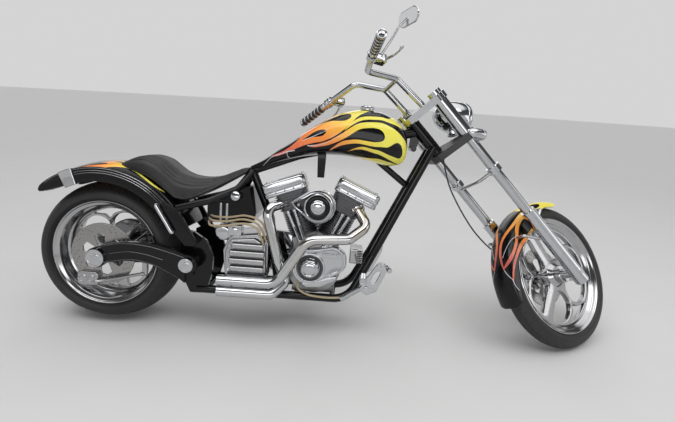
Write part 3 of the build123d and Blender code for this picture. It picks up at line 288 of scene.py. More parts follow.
def plate_of(outlines, low, high, bevel, steps):
    """Flat plate between w = low and high with rounded edges. The first outline is its rim, the others
    are holes. A ring at angle a of the rounding is set in by bevel * (1 - sin a) and raised by
    bevel * (1 - cos a); the flats are triangles between the innermost rings."""
    points, faces, rims, start = [], [], [], 0
    a = np.linspace(0, math.pi / 2, steps + 1)
    inset, rise = bevel * (1 - np.sin(a)), bevel * (1 - np.cos(a))
    inset = np.concatenate([inset, inset[::-1]])
    w = np.concatenate([low + rise, (high - rise)[::-1]])
    for k, outline in enumerate(outlines):
        q = np.asarray(outline, float)
        q = q[np.linalg.norm(q - np.roll(q, 1, 0), axis=1) > 1e-6]
        area = np.sum(q[:, 0] * np.roll(q[:, 1], -1) - np.roll(q[:, 0], -1) * q[:, 1])
        q = q[::-1] if (area > 0) == (k > 0) else q
        t = np.roll(q, -1, 0) - np.roll(q, 1, 0)
        n = np.stack([-t[:, 1], t[:, 0]], 1) / np.maximum(np.linalg.norm(t, axis=1), 1e-9)[:, None]
        rings = np.zeros((len(w), len(q), 3))
        rings[:, :, :2] = q[None] + inset[:, None, None] * n[None]
        rings[:, :, 2] = w[:, None]
        points.append(rings.reshape(-1, 3))
        faces += grid_faces(len(w), len(q), wrap_columns=True, start=start)
        rims.append((start, start + (len(w) - 1) * len(q), rings[0, :, :2]))
        start += len(w) * len(q)
    flat, edges, index = [], [], []
    for first_low, first_high, ring in rims:
        base, count = len(flat), len(ring)
        flat += [Vector(p) for p in ring.tolist()]
        edges += [(base + i, base + (i + 1) % count) for i in range(count)]
        index += [(first_low + i, first_high + i) for i in range(count)]
    made = delaunay_2d_cdt(flat, edges, [], 0, 1e-7)
    at = np.array([list(v) for v in made[0]])
    triangles = np.array(made[2])
    middle = at[triangles].mean(1)
    keep = inside(middle, rims[0][2]) > 0
    for _, _, ring in rims[1:]:
        keep &= inside(middle, ring) < 0
    given = np.array([list(p) for p in flat])
    nearest = [int(np.argmin(((given - p) ** 2).sum(1))) for p in at]
    for tri in triangles[keep]:
        source = [nearest[i] for i in tri]
        faces.append(tuple(index[i][0] for i in source))
        faces.append(tuple(index[i][1] for i in source)[::-1])
    return np.concatenate(points), faces


def joined(*parts):
    """Several (points, faces) as one."""
    points, faces, start = [], [], 0
    for p, f in parts:
        points.append(np.asarray(p, float))
        faces += [tuple(int(i) + start for i in face) for face in f]
        start += len(p)
    return np.concatenate(points), faces


def mesh_of(name, points, faces, weld=False):
    """A mesh from points in metres with its faces turned outwards. Welding joins points that lie in one
    place; without it the points keep their order."""
    mesh = bpy.data.meshes.new(name)
    mesh.from_pydata(points.tolist(), [], [tuple(int(i) for i in face) for face in faces])
    made = bmesh.new()
    if weld:
        mesh.validate()
    made.from_mesh(mesh)
    if weld:
        bmesh.ops.remove_doubles(made, verts=made.verts, dist=SAME_PLACE)
    bmesh.ops.recalc_face_normals(made, faces=made.faces)
    made.to_mesh(mesh)
    made.free()
    return mesh


def added(name, data):
    """A new object in the scene."""
    obj = bpy.data.objects.new(name, data)
    bpy.context.scene.collection.objects.link(obj)
    return obj


def piece(name, shape, body, slot, stands_for=(), finish=None, sharp=35, weld=True):
    """A finished object from drawn points and faces, on its body. Its finish is the slot's own unless another is
    named, and edges that fold by more than sharp degrees stay hard."""
    mesh = mesh_of(name, stand_up(shape[0], PLACES[body]), shape[1], weld)
    mesh.shade_smooth()
    if sharp is not None:
        mesh.set_sharp_from_angle(angle=math.radians(sharp))
    mesh.materials.append(finishes()[finish or slot])
    obj = added(name, mesh)
    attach(obj, body)
    if stands_for:
        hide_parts(*stands_for)
    return obj


# Shaders

class Value:
    """A socket inside a material; arithmetic on it adds Math nodes."""

    def __init__(self, shader, socket):
        self.shader, self.socket = shader, socket

    def math(self, operation, other):
        """One Math node over this value and another."""
        return self.shader.node("ShaderNodeMath", {"operation": operation}, {0: self, 1: other})[0]

    def __add__(self, other):
        return self.math("ADD", other)

    __radd__ = __add__

    def __sub__(self, other):
        return self.math("SUBTRACT", other)

    def __rsub__(self, other):
        return self.shader.number(other).math("SUBTRACT", self)

    def __mul__(self, other):
        return self.math("MULTIPLY", other)

    __rmul__ = __mul__

    def over(self, edge, soft):
        """0 below the edge and 1 above it, with a soft width."""
        return self.shader.node("ShaderNodeMapRange", {"interpolation_type": "SMOOTHSTEP"},
                                {"Value": self, "From Min": edge - soft, "From Max": edge + soft})[0]

    def ends(self, low, high):
        """A 0 to 1 value spread from low to high."""
        return self * (high - low) + low


class Shader:
    """The nodes of one material, or of the world."""

    def __init__(self, owner):
        owner.use_nodes = True
        self.owner = owner
        self.nodes = owner.node_tree.nodes
        self.links = owner.node_tree.links
        self.nodes.clear()

    def node(self, kind, settings=None, inputs=None):
        """Add a node: settings first, then values or links of its sockets; returns its outputs."""
        made = self.nodes.new(kind)
        for key, value in (settings or {}).items():
            if key == "stops":
                ramp = made.color_ramp
                while len(ramp.elements) < len(value):
                    ramp.elements.new(0.5)
                for element, (at, colour) in zip(ramp.elements, value):
                    element.position, element.color = at, (*colour, 1)
            else:
                setattr(made, key, value)
        for key, value in (inputs or {}).items():
            socket = made.inputs[key]
            if isinstance(value, Value):
                self.links.new(value.socket, socket)
            else:
                socket.default_value = (*value, 1) if socket.type == "RGBA" else value
        return [Value(self, out) for out in made.outputs]

    def number(self, value):
        """A number as a value, for the left side of an expression."""
        return self.node("ShaderNodeMath", {"operation": "ADD"}, {0: value, 1: 0.0})[0]

    def place(self):
        """The piece's own coordinates in metres."""
        return self.node("ShaderNodeTexCoord")[3]

    def noise(self, scale, detail, rough=0.55):
        """Noise of so many waves to a metre, 0 to 1."""
        return self.node("ShaderNodeTexNoise", {}, {"Vector": self.place(), "Scale": scale,
                                                    "Detail": detail, "Roughness": rough})[0]

    def cells(self, scale):
        """Distance to the nearest cell of a Voronoi pattern."""
        return self.node("ShaderNodeTexVoronoi", {}, {"Vector": self.place(), "Scale": scale})[0]

    def attribute(self, name):
        """A number stored on the piece's points."""
        return self.node("ShaderNodeAttribute", {"attribute_name": name})[2]

    def ramp(self, value, stops):
        """Colours along a value."""
        return self.node("ShaderNodeValToRGB", {"stops": stops}, {"Fac": value})[0]

    def mix(self, factor, a, b):
        """Colour a where the factor is 0, colour b where it is 1."""
        return self.node("ShaderNodeMix", {"data_type": "RGBA"}, {0: factor, 6: a, 7: b})[2]

    def edges(self):
        """How sharply the surface folds outwards, for wear along edges and for painted shade in hollows; 0.5 is
        flat.
        """
        return self.node("ShaderNodeNewGeometry")[7]

    def bump(self, height, strength, distance):
        """A normal from a height, raised by the distance in metres."""
        return self.node("ShaderNodeBump", {}, {"Height": height, "Strength": strength,
                                                "Distance": distance})[0]

    def surface(self, **inputs):
        """The principled surface; underscores in the names stand for blanks."""
        values = {key.replace("_", " "): value for key, value in inputs.items()}
        out = self.node("ShaderNodeBsdfPrincipled", {}, values)[0]
        self.node("ShaderNodeOutputMaterial", {}, {"Surface": out})
        return self.owner


def toned(colour, factor, lift=0.0):
    """A colour made darker or lighter: each part is factor * part + lift, at most 1."""
    return tuple(min(1, factor * part + lift) for part in colour)


def clear_paint(name, colour, flames=False):
    """Polished paint under a clear coat: a faint flow in the coat and fine dust in the gloss."""
    s = Shader(bpy.data.materials.new(name))
    flow = s.noise(9.0, 2.0)
    dust = s.noise(900.0, 2.0)
    base = s.mix(flow, toned(colour, 0.8), toned(colour, 1.25))
    if flames:
        tint = s.ramp(s.attribute("warmth"), FLAME_STOPS)
        tint = s.mix(s.noise(45.0, 3.0) * 0.22, tint, FLAME_MOTTLE)
        base = s.mix(s.attribute("flame_edge").over(0.0, 0.55), base, tint)
        base = s.mix(s.attribute("stripe").over(0.0, 0.4), base, STRIPE_SILVER)
    return s.surface(Base_Color=base, Roughness=(flow + dust).ends(0.10, 0.17), Coat_Weight=0.7,
                     Coat_Roughness=0.03, Specular_IOR_Level=0.1, Coat_IOR=1.36,
                     Normal=s.bump(flow, 0.05, 0.004))


# Colours of the flames along their warmth, the paler mottle in them, and the thin lines beside them
FLAME_STOPS = [
    (0.00, (0.20, 0.02, 0.04)), (0.12, (0.52, 0.05, 0.09)), (0.28, (0.78, 0.13, 0.06)),
    (0.42, (0.95, 0.25, 0.035)), (0.58, (0.97, 0.42, 0.05)), (0.74, (0.94, 0.66, 0.07)),
    (1.00, (0.86, 0.79, 0.10)),
]
FLAME_MOTTLE = (0.95, 0.80, 0.30)
STRIPE_SILVER = (0.62, 0.64, 0.68)


def bright_metal(name, colour, rough, wear=0.5, grain=0.0, scale=60.0, dark=0.6):
    """Plated or polished metal: soft haze in the gloss, a darker film in patches, painted shade in hollows,
    optional cast grain.
    """
    s = Shader(bpy.data.materials.new(name))
    haze = s.noise(scale, 4.0)
    folds = s.edges().over(0.5, 0.08)
    film = s.mix(haze * wear, colour, toned(colour, dark))
    # Painted shade: in hollows, where the folds mask falls to 0, the colour is darkened to 0.82
    base = s.mix(folds, toned(colour, 0.82), film)
    height = s.noise(scale * 18, 3.0) * grain + haze * 0.25
    return s.surface(Base_Color=base, Metallic=1.0, Roughness=haze.ends(rough, rough + 0.07),
                     Normal=s.bump(height, 0.12 + 0.5 * min(1, grain), 0.0012 * (0.15 + grain)))


def heated_chrome(name):
    """Chrome that heat has tinted in broad straw patches, strongest near the engine."""
    s = Shader(bpy.data.materials.new(name))
    broad = s.noise(5.0, 3.0)
    haze = s.noise(40.0, 4.0)
    along = s.node("ShaderNodeSeparateXYZ", {}, {0: s.place()})[0]
    near = (along + 0.35) * 2.2
    film = s.mix(haze * 0.4, (0.60, 0.61, 0.62), (0.36, 0.37, 0.39))
    base = s.mix(broad.over(0.52, 0.2) * near * 0.55, film, (0.52, 0.40, 0.25))
    return s.surface(Base_Color=base, Metallic=1.0, Roughness=haze.ends(0.04, 0.10),
                     Normal=s.bump(haze, 0.06, 0.0006))


def satin_coat(name, colour, rough, grain=0.4, scale=700.0):
    """Dull coat or moulded rubber with a fine grain and scuffed edges."""
    s = Shader(bpy.data.materials.new(name))
    broad = s.noise(14.0, 3.0)
    fine = s.noise(scale, 2.0)
    base = s.mix(broad, toned(colour, 0.75), toned(colour, 1.35))
    base = s.mix(s.edges().over(0.56, 0.05) * 0.35, base, toned(colour, 3.2, 0.02))
    return s.surface(Base_Color=base, Roughness=(broad * 0.6 + fine * 0.4).ends(rough, rough + 0.14),
                     Normal=s.bump(fine, grain, 0.0006))


def tyre_coat(name):
    """Tyre rubber: grey bloom on the tread, and slightly darker walls."""
    s = Shader(bpy.data.materials.new(name))
    tread = s.attribute("tread")
    dust = s.noise(160.0, 3.0)
    wall = s.mix(s.noise(11.0, 4.0), (0.010, 0.010, 0.011), (0.019, 0.019, 0.020))
    worn = s.mix(dust, (0.017, 0.017, 0.016), (0.032, 0.031, 0.030))
    base = s.mix(tread.over(0.5, 0.2), wall, worn)
    return s.surface(Base_Color=base, Roughness=(tread * 0.5 + dust * 0.5).ends(0.52, 0.72),
                     Normal=s.bump(dust, 0.25, 0.0005))


def hide(name):
    """Smooth black leather: pebble grain, soft creases and darker seams."""
    s = Shader(bpy.data.materials.new(name))
    crease = s.noise(70.0, 5.0, 0.65)
    broad = s.noise(9.0, 3.0)
    base = s.mix(broad, (0.011, 0.011, 0.011), (0.024, 0.023, 0.022))
    base = s.mix(s.attribute("seam").over(0.0, 0.8), base, (0.008, 0.008, 0.008))
    return s.surface(Base_Color=base, Roughness=(crease * 0.6 + broad * 0.4).ends(0.36, 0.58),
                     Normal=s.bump(s.cells(520.0) * 0.55 + crease * 0.6, 0.35, 0.0010))


def glass(name, colour):
    """Moulded lens: clear coat over tinted glass with fine flutes."""
    s = Shader(bpy.data.materials.new(name))
    flutes = s.node("ShaderNodeTexWave", {}, {"Vector": s.place(), "Scale": 46.0, "Distortion": 0.0})[1]
    base = s.mix(flutes, colour, toned(colour, 1.2, 0.02))
    return s.surface(Base_Color=base, Roughness=0.03, Coat_Weight=1.0, Coat_Roughness=0.02,
                     Normal=s.bump(flutes, 0.25, 0.0012))


MATERIALS = {}


def finishes():
    """Every finish by its slot's name."""
    if MATERIALS:
        return MATERIALS
    black, rubber = (0.0045, 0.0045, 0.0055), (0.02, 0.02, 0.02)
    MATERIALS.update({
        "gloss_black": clear_paint("gloss_black_paint", black),
        "flame_paint": clear_paint("flame_paint_coat", black, flames=True),
        "chrome": bright_metal("chrome_plate", (0.60, 0.61, 0.63), rough=0.035, wear=0.4, dark=0.5),
        "polished_alloy": bright_metal("polished_alloy_metal", (0.52, 0.52, 0.53), rough=0.09,
                                       grain=0.05, dark=0.45),
        "cast_alloy": bright_metal("cast_alloy_metal", (0.36, 0.36, 0.36), rough=0.28, wear=0.6,
                                   grain=0.7),
        "satin_black": satin_coat("satin_black_coat", (0.022, 0.022, 0.023), rough=0.38),
        "brake_steel": bright_metal("ground_steel", (0.40, 0.39, 0.38), rough=0.22, grain=0.1,
                                    scale=220.0),
        "tyre_rubber": tyre_coat("tyre_rubber_coat"),
        "seat_leather": hide("seat_hide"),
        "belt_rubber": satin_coat("belt_rubber_coat", rubber, rough=0.55),
        "hose_braid": satin_coat("hose_cover", (0.34, 0.27, 0.17), rough=0.35, grain=0.5, scale=500.0),
        "black_hose": satin_coat("black_hose_cover", (0.018, 0.018, 0.018), rough=0.32),
        "fin_alloy": bright_metal("fin_alloy_metal", (0.17, 0.17, 0.18), rough=0.32, wear=0.6, grain=0.5),
        "heated_chrome": heated_chrome("heated_chrome_plate"),
        "clear_lens": glass("clear_lens_glass", (0.62, 0.64, 0.66)),
        "mirror_glass": bright_metal("mirror_glass_silver", (0.86, 0.87, 0.88), rough=0.01, wear=0.05),
        "tail_lens": glass("red_lens", (0.36, 0.008, 0.008)),
    })
    return MATERIALS


# Tank

TANK_TABLE = np.array([
    # x, top, bottom, half width
    (640, 772, 752, 22), (700, 806, 772, 42), (760, 852, 795, 66), (820, 893, 815, 90), (900, 956, 836, 114),
    (980, 1008, 848, 132), (1060, 1045, 850, 145), (1140, 1061, 842, 152), (1210, 1058, 828, 152),
    (1270, 1038, 818, 142), (1315, 1006, 822, 118), (1342, 970, 842, 86), (1352, 930, 872, 40),
], float)


# Roundness of the tank's sections, and the share of their height at which they are widest
TANK_POWER = 2.5
TANK_WAIST = 0.46
# Where the rows of the tank's skin start to close up towards its front end
TANK_BEND = 1290.0
# Half girth in millimetres that one row of the skin is divided for
TANK_GIRTH = 430


def tank_section(x, n):
    """Half section of the tank at x from the top middle to the bottom middle on the right.
    It is a superellipse: y = -half * sin(t)^(2/p), z = middle +- height * cos(t)^(2/p)."""
    top, bottom, half = (smooth_table(TANK_TABLE[:, 0], TANK_TABLE[:, k], x) for k in (1, 2, 3))
    t = np.linspace(0, math.pi, n)
    mid = bottom + (top - bottom) * TANK_WAIST
    c, s = np.cos(t), np.sin(t)
    up = np.where(c >= 0, (top - mid)[:, None], (mid - bottom)[:, None])
    y = -half[:, None] * np.abs(s) ** (2 / TANK_POWER)
    z = mid[:, None] + np.sign(c) * up * np.abs(c) ** (2 / TANK_POWER)
    return y, z


def tank_surface(step):
    """Tank skin on a grid even in length and girth; returns its points and the girth of each."""
    bell = 0.5 - 0.5 * np.cos(np.linspace(0, math.pi, 40))
    first, last = TANK_TABLE[0, 0], TANK_TABLE[-1, 0]
    x = np.concatenate([np.arange(first, TANK_BEND, step), TANK_BEND + (last - TANK_BEND) * bell])
    fine_y, fine_z = tank_section(x, 241)
    run = np.cumsum(np.hypot(np.diff(fine_y, axis=1), np.diff(fine_z, axis=1)), 1)
    g = np.concatenate([np.zeros((len(x), 1)), run], 1)
    share = np.linspace(0, 1, int(TANK_GIRTH / step))
    rows = [(np.interp(share * gi[-1], gi, yi), np.interp(share * gi[-1], gi, zi), share * gi[-1])
            for gi, yi, zi in zip(g, fine_y, fine_z)]
    y, z, girth = (np.stack(r) for r in zip(*rows))
    right = np.stack([np.broadcast_to(x[:, None], y.shape), y, z], 2)
    left = right[:, 1:-1][:, ::-1] * [1, -1, 1]
    return np.concatenate([right, left], 1), np.concatenate([girth, girth[:, 1:-1][:, ::-1]], 1)


# Distances in millimetres beyond which flames and stripes are not told apart, and half a stripe's width
FLAME_FAR = 60.0
STRIPE_FAR = 20.0
STRIPE_HALF = 1.5


def near_line(points, line):
    """Distance of points to an open line."""
    out = np.full(len(points), 1e9)
    for p0, p1 in zip(line[:-1], line[1:]):
        d = p1 - p0
        rel = points - p0
        t = np.clip((rel @ d) / max(d @ d, 1e-12), 0, 1)
        out = np.minimum(out, np.hypot(*(rel - t[:, None] * d).T))
    return out


def inside(points, outline):
    """Signed distance of points to a closed outline, positive inside, where a ray crosses it an odd
    number of times."""
    hit = np.zeros(len(points), bool)
    for p0, p1 in zip(outline, np.roll(outline, -1, axis=0)):
        if p0[1] != p1[1]:
            crosses = (p0[1] > points[:, 1]) != (p1[1] > points[:, 1])
            at = p0[0] + (points[:, 1] - p0[1]) * (p1 - p0)[0] / (p1 - p0)[1]
            hit ^= crosses & (points[:, 0] < at)
    out = near_line(points, np.concatenate([outline, outline[:1]]))
    return np.where(hit, out, -out)


def painted(points, layers):
    """Signed distance to the painted area of ordered layers: paint adds, black takes away."""
    out = np.full(len(points), -FLAME_FAR)
    for kind, outline in layers:
        d = inside(points, rounded_line(outline, 6, closed=True))
        out = np.maximum(out, d) if kind == "paint" else np.minimum(out, -d)
    return np.clip(out, -FLAME_FAR, FLAME_FAR)


# Flame outlines on the tank: length x and girth from the top middle
TANK_FLAMES = [
    ("paint", [(732, 46), (760, 64), (800, 85), (838, 92), (862, 86), (870, 60), (864, 30), (860, -20),
        (1000, -24), (1176, -20), (1180, 10), (1173, 50), (1152, 90), (1128, 116), (1106, 140), (1084, 161),
        (1060, 180), (1035, 190), (1005, 192), (970, 186), (940, 171), (900, 150), (850, 125), (800, 101),
        (760, 76)]),
    ("black", [(1088, 114), (1081, 96), (1062, 86), (1030, 80), (1000, 76), (960, 68), (900, 50), (885, 44),
        (925, 66), (962, 84), (994, 99), (1020, 118), (1042, 132), (1066, 138), (1083, 130)]),
    ("black", [(985, 154), (978, 140), (956, 125), (930, 116), (902, 115), (880, 111), (905, 125),
        (930, 140), (954, 155), (972, 162)]),
    ("paint", [(1264, -20), (1268, 20), (1264, 62), (1256, 94), (1238, 112), (1200, 119), (1152, 127),
        (1112, 144), (1086, 162), (1060, 187), (1090, 171), (1122, 157), (1160, 145), (1200, 139),
        (1242, 132), (1278, 118), (1302, 100), (1320, 76), (1332, 40), (1338, 0), (1338, -20)]),
    ("paint", [(910, 163), (950, 185), (985, 197), (1020, 200), (1055, 194), (1090, 179), (1130, 165),
        (1170, 157), (1210, 152), (1250, 148), (1290, 140), (1322, 128), (1345, 116), (1420, 100),
        (1430, 180), (1420, 262), (1345, 254), (1326, 272), (1292, 288), (1250, 293), (1200, 290),
        (1150, 281), (1115, 283), (1080, 291), (1110, 276), (1150, 267), (1196, 272), (1245, 272),
        (1280, 262), (1305, 243), (1319, 215), (1323, 190), (1315, 173), (1298, 182), (1280, 205),
        (1262, 230), (1240, 248), (1200, 259), (1150, 256), (1100, 250), (1050, 247), (1000, 253),
        (1025, 238), (1060, 229), (1100, 233), (1150, 239), (1195, 240), (1226, 230), (1237, 208),
        (1228, 190), (1200, 181), (1165, 184), (1130, 192), (1105, 203), (1080, 214), (1050, 222),
        (1020, 222), (990, 216), (960, 203), (935, 188)]),
    ("paint", [(1125, 354), (1160, 340), (1205, 325), (1255, 313), (1300, 297), (1328, 282), (1342, 262),
        (1430, 250), (1440, 420), (1400, 640), (1240, 640), (1080, 560), (1060, 430), (1085, 380)]),
]
TANK_WARM = [(720, 790, 860, 930, 990, 1060, 1120), (0.0, 0.14, 0.28, 0.42, 0.58, 0.80, 1.0)]
TANK_STRIPES = [
    [(884, 119), (905, 127), (935, 138), (960, 145), (984, 149)],
    [(700, 62), (740, 60), (780, 84), (815, 104), (850, 131)],
    [(815, 108), (818, 130), (826, 150)],
    [(905, 158), (940, 184), (975, 200), (1010, 206), (1040, 203)],
    [(1010, 262), (1020, 246), (1045, 240)],
]


def tank_colours(x, girth):
    """Where along the tank the flames turn from red through orange to yellow, 0 to 1."""
    shift = np.clip(0.9 * (girth - 120), 0, 105)
    return np.interp(x - shift, *TANK_WARM)


def store(obj, name, values):
    """Keep one number for each point on the mesh."""
    attribute = obj.data.attributes.new(name, "FLOAT", "POINT")
    attribute.data.foreach_set("value", np.asarray(values, np.float32))


def flame_piece(name, grid, flat, warm, layers, stripes, body, node):
    """A painted skin: the flame and stripe distances are stored on the grid's points."""
    shape = grid.reshape(-1, 3), closed_faces(*grid.shape[:2])
    obj = piece(name, shape, body, "flame_paint", [node], sharp=None, weld=False)
    uv = flat.reshape(-1, 2)
    store(obj, "flame_edge", painted(uv, layers))
    store(obj, "warmth", warm.ravel())
    line = np.min([near_line(uv, rounded_line(s, 6)) for s in stripes], axis=0)
    store(obj, "stripe", np.clip(STRIPE_HALF - line, -STRIPE_FAR, STRIPE_FAR))


# Bodies from outlines, and bent pipes

def stack(levels):
    """Closed body from outlines of as many points each, one above the other at their heights."""
    rows = [np.column_stack([outline, np.full(len(outline), float(w))]) for w, outline in levels]
    return np.concatenate(rows), closed_faces(len(rows), len(rows[0]))


def box_stack(table):
    """Closed body from rounded rectangles: rows of height, width, depth and corner radius."""
    return stack([(w, box_line(*size)) for w, *size in table])


def set_in(line, middle, inset):
    """Points moved towards a middle by the inset."""
    away = middle - line
    return line + away / np.linalg.norm(away, axis=1)[:, None] * inset


def inset_stack(line, table):
    """Closed body whose outline is set in towards its middle: rows of height and inset."""
    return stack([(w, set_in(line, line.mean(0), inset)) for w, inset in table])


def slot_stack(run, radius, count, table):
    """Closed body from outlines with two straight sides and round ends: the run is half the straight
    part, and rows give a height and how much the radius grows."""
    t = np.linspace(0, 2 * math.pi, count, endpoint=False)
    c, s = np.cos(t), np.sin(t)
    return stack([(w, np.stack([np.sign(c) * run + (radius + grow) * c, (radius + grow) * s], 1))
                  for w, grow in table])


def soft_box(wide, high, corner, low, top, round_off):
    """A moulded box with rounded corners and rims: at angle a of a rim the outline is set in by
    round_off * (1 - sin a), at round_off * (1 - cos a) from the flat."""
    a = math.pi / 2 * np.arange(5) / 4
    near, far = round_off * (1 - np.sin(a)), round_off * (1 - np.cos(a))
    return box_stack([(w, wide - 2 * cut, high - 2 * cut, corner)
                      for w, cut in [*zip(low + far, near), *zip(top - near, far)]])


def hull(points):
    """Convex outline round flat points, anticlockwise."""
    p = sorted(set(map(tuple, np.round(np.asarray(points, float), 6).tolist())))

    def chain(items):
        """One side of the outline: a point that would turn it inwards is taken out again."""
        out = []
        for q in items:
            while len(out) > 1 and (out[-1][0] - out[-2][0]) * (q[1] - out[-2][1]) <= \
                    (out[-1][1] - out[-2][1]) * (q[0] - out[-2][0]):
                out.pop()
            out.append(q)
        return out[:-1]

    return np.array(chain(p) + chain(p[::-1]))


def bent_line(points, radii, step):
    """Straight runs joined by tangent arcs: an arc starts radius * tan(turn / 2) before its corner."""
    p = np.asarray(points, float)
    out = [p[0]]
    for before, at, after, radius in zip(p[:-2], p[1:-1], p[2:], radii):
        a, b = unit(before - at), unit(after - at)
        turn = math.pi - math.acos(np.clip(a @ b, -1, 1))
        reach = radius * math.tan(turn / 2)
        middle = at + unit(a + b) * radius / math.cos(turn / 2)
        first, last = at + a * reach - middle, at + b * reach - middle
        for t in np.linspace(0, 1, max(6, int(turn * radius / step))):
            at_t = math.sin((1 - t) * turn) * first + math.sin(t * turn) * last
            out.append(middle + at_t / math.sin(turn))
    out.append(p[-1])
    out = np.array(out)
    keep = np.concatenate([[True], np.linalg.norm(np.diff(out, axis=0), axis=1) > 1e-3])
    return out[keep]


def outline_round(points, step):
    """The convex outline round flat points, with samples an even step apart."""
    line = hull(points)
    return even_line(np.concatenate([line, line[:1]]), step)[:-1]


def rod(start, end, shape, sides=20):
    """A round bar from one point to another; its shape is a radius, or rows of (share of its length,
    radius) with collars."""
    start, end = np.asarray(start, float), np.asarray(end, float)
    length = np.linalg.norm(end - start)
    table = shape if isinstance(shape, list) else [(0, shape), (1, shape)]
    line = [(0, 0.01)] + [(share * length, r) for share, r in table] + [(length, 0.01)]
    return lathe(line, sides, end - start, start)


def bolts_round(outline, inset, count, start):
    """Points spaced evenly along an outline, set in towards its middle."""
    p = np.asarray(outline, float)
    closed = np.concatenate([p, p[:1]])
    g = np.concatenate([[0], np.cumsum(np.linalg.norm(np.diff(closed, axis=0), axis=1))])
    at = (np.arange(count) + start) / count * g[-1]
    q = np.stack([np.interp(at, g, closed[:, 0]), np.interp(at, g, closed[:, 1])], 1)
    return set_in(q, p.mean(0), inset)


# Engine

CRANK = np.array([965.0, 0.0, 330.0])
# Of the front and the rear cylinder: lean, shift of the rocker box, offsets of the push rods
BANKS = [(24.0, 20.0, (2, 34)), (-21.0, -20.0, (-2, -34))]
RIGHT = (0, -1, 0)


def bank_place(angle):
    """Axes of a cylinder: across (along the machine), left, and up the barrel."""
    c, s = math.cos(math.radians(angle)), math.sin(math.radians(angle))
    return np.array([c, 0, -s]), np.array([0, 1.0, 0]), np.array([s, 0, c])


def bank_point(angle, x, y, z):
    """A place in a cylinder's own frame, from the crank."""
    u, v, w = bank_place(angle)
    return CRANK + u * x + v * y + w * z


def finned_cylinder(angle):
    """Barrel with round fins, then a head with square ones that leave the core between them open."""
    u, v, w = bank_place(angle)
    parts = [lathe([(152, 0.01), (152, 60), (160, 60), (162, 56), (287, 56), (287, 0.01)], 48, w, CRANK)]
    for z in 166 + 11.0 * np.arange(11):
        parts.append(place_on(plate_of([disc_line(73.6, 72)], z - 1.5, z + 1.5, 1.2, 2), CRANK, u, v))
    head = CRANK - v * 4
    parts.append(place_on(box_stack([(286, 126, 140, 24), (362, 134, 150, 24)]), head, u, v))
    for k in range(7):
        z = 291 + 10.6 * k
        fin = box_line(140 + 1.5 * k, 160 + k, 26, 8)
        parts.append(place_on(plate_of([fin], z - 1.6, z + 1.6, 1.3, 2), head, u, v))
    return joined(*parts)


ROCKER_LID = [
    # height, width, depth, corner radius
    (387.0, 203, 119, 22), (387.3, 207, 123, 23), (389, 210, 126, 24), (391, 211, 127, 24),
    (404, 211, 127, 24), (405, 209.5, 125.5, 24), (406.5, 209.5, 125.5, 24), (407.5, 211, 127, 24),
    (421, 210, 126, 24), (425, 207, 123, 23), (428, 201, 117, 21), (429.5, 192, 108, 18),
    (429.8, 160, 80, 10), (431.4, 157, 77, 9), (431.9, 152, 72, 8),
]


def rocker_box(angle, shift):
    """Rocker box: a base with a flange, a dark seam and a lid with a step near its top."""
    u, v, w = bank_place(angle)
    at = CRANK - v * 4 + u * shift
    base = soft_box(210, 126, 24, 362.3, 384.5, 3.0)
    flange = soft_box(214, 130, 26, 366, 373, 2.4)
    seam = box_stack([(383, 202, 118, 22), (388, 202, 118, 22)])
    heads = [(at + u * x + v * y + w * 428.6, w, 7.0) for x in (-88, 88) for y in (-46, 46)]
    low = [(at + u * x - v * 63 + w * 378, -v, 4.6) for x in (-84, -42, 0, 42, 84)]
    body = joined(*(place_on(s, at, u, v) for s in (base, flange, box_stack(ROCKER_LID), seam)))
    return body, joined(bolt_heads(heads, 3.4, 20, True), bolt_heads(low, 3.0))


PUSH_ROD = [(0, 12), (0.05, 12.4), (0.08, 12.4), (0.09, 10.4), (0.16, 10.4), (0.17, 9), (0.55, 9),
            (0.56, 10.2), (0.60, 10.2), (0.61, 8.4), (0.92, 8.4), (0.93, 11), (1, 11)]


def push_rods(angle, offsets):
    """Two tubes with collars in a tappet block, running up to the head."""
    u, v, _ = bank_place(angle)
    parts = [rod(bank_point(angle, off * 0.6, -88, 110), bank_point(angle, off, -85, 286), PUSH_ROD, 24)
             for off in offsets]
    middle = sum(offsets) / len(offsets) * 0.6
    parts.append(place_on(soft_box(52, 34, 8, 96, 114, 3), CRANK - v * 88 + u * middle, u, v))
    return joined(*parts)


CAM_POINTS = [(905, 405), (1030, 435), (1090, 320), (1000, 262), (930, 254)]


CAM_PAN = [(905, 262), (940, 240), (1004, 246), (1072, 282), (1076, 304), (1010, 284), (950, 268)]


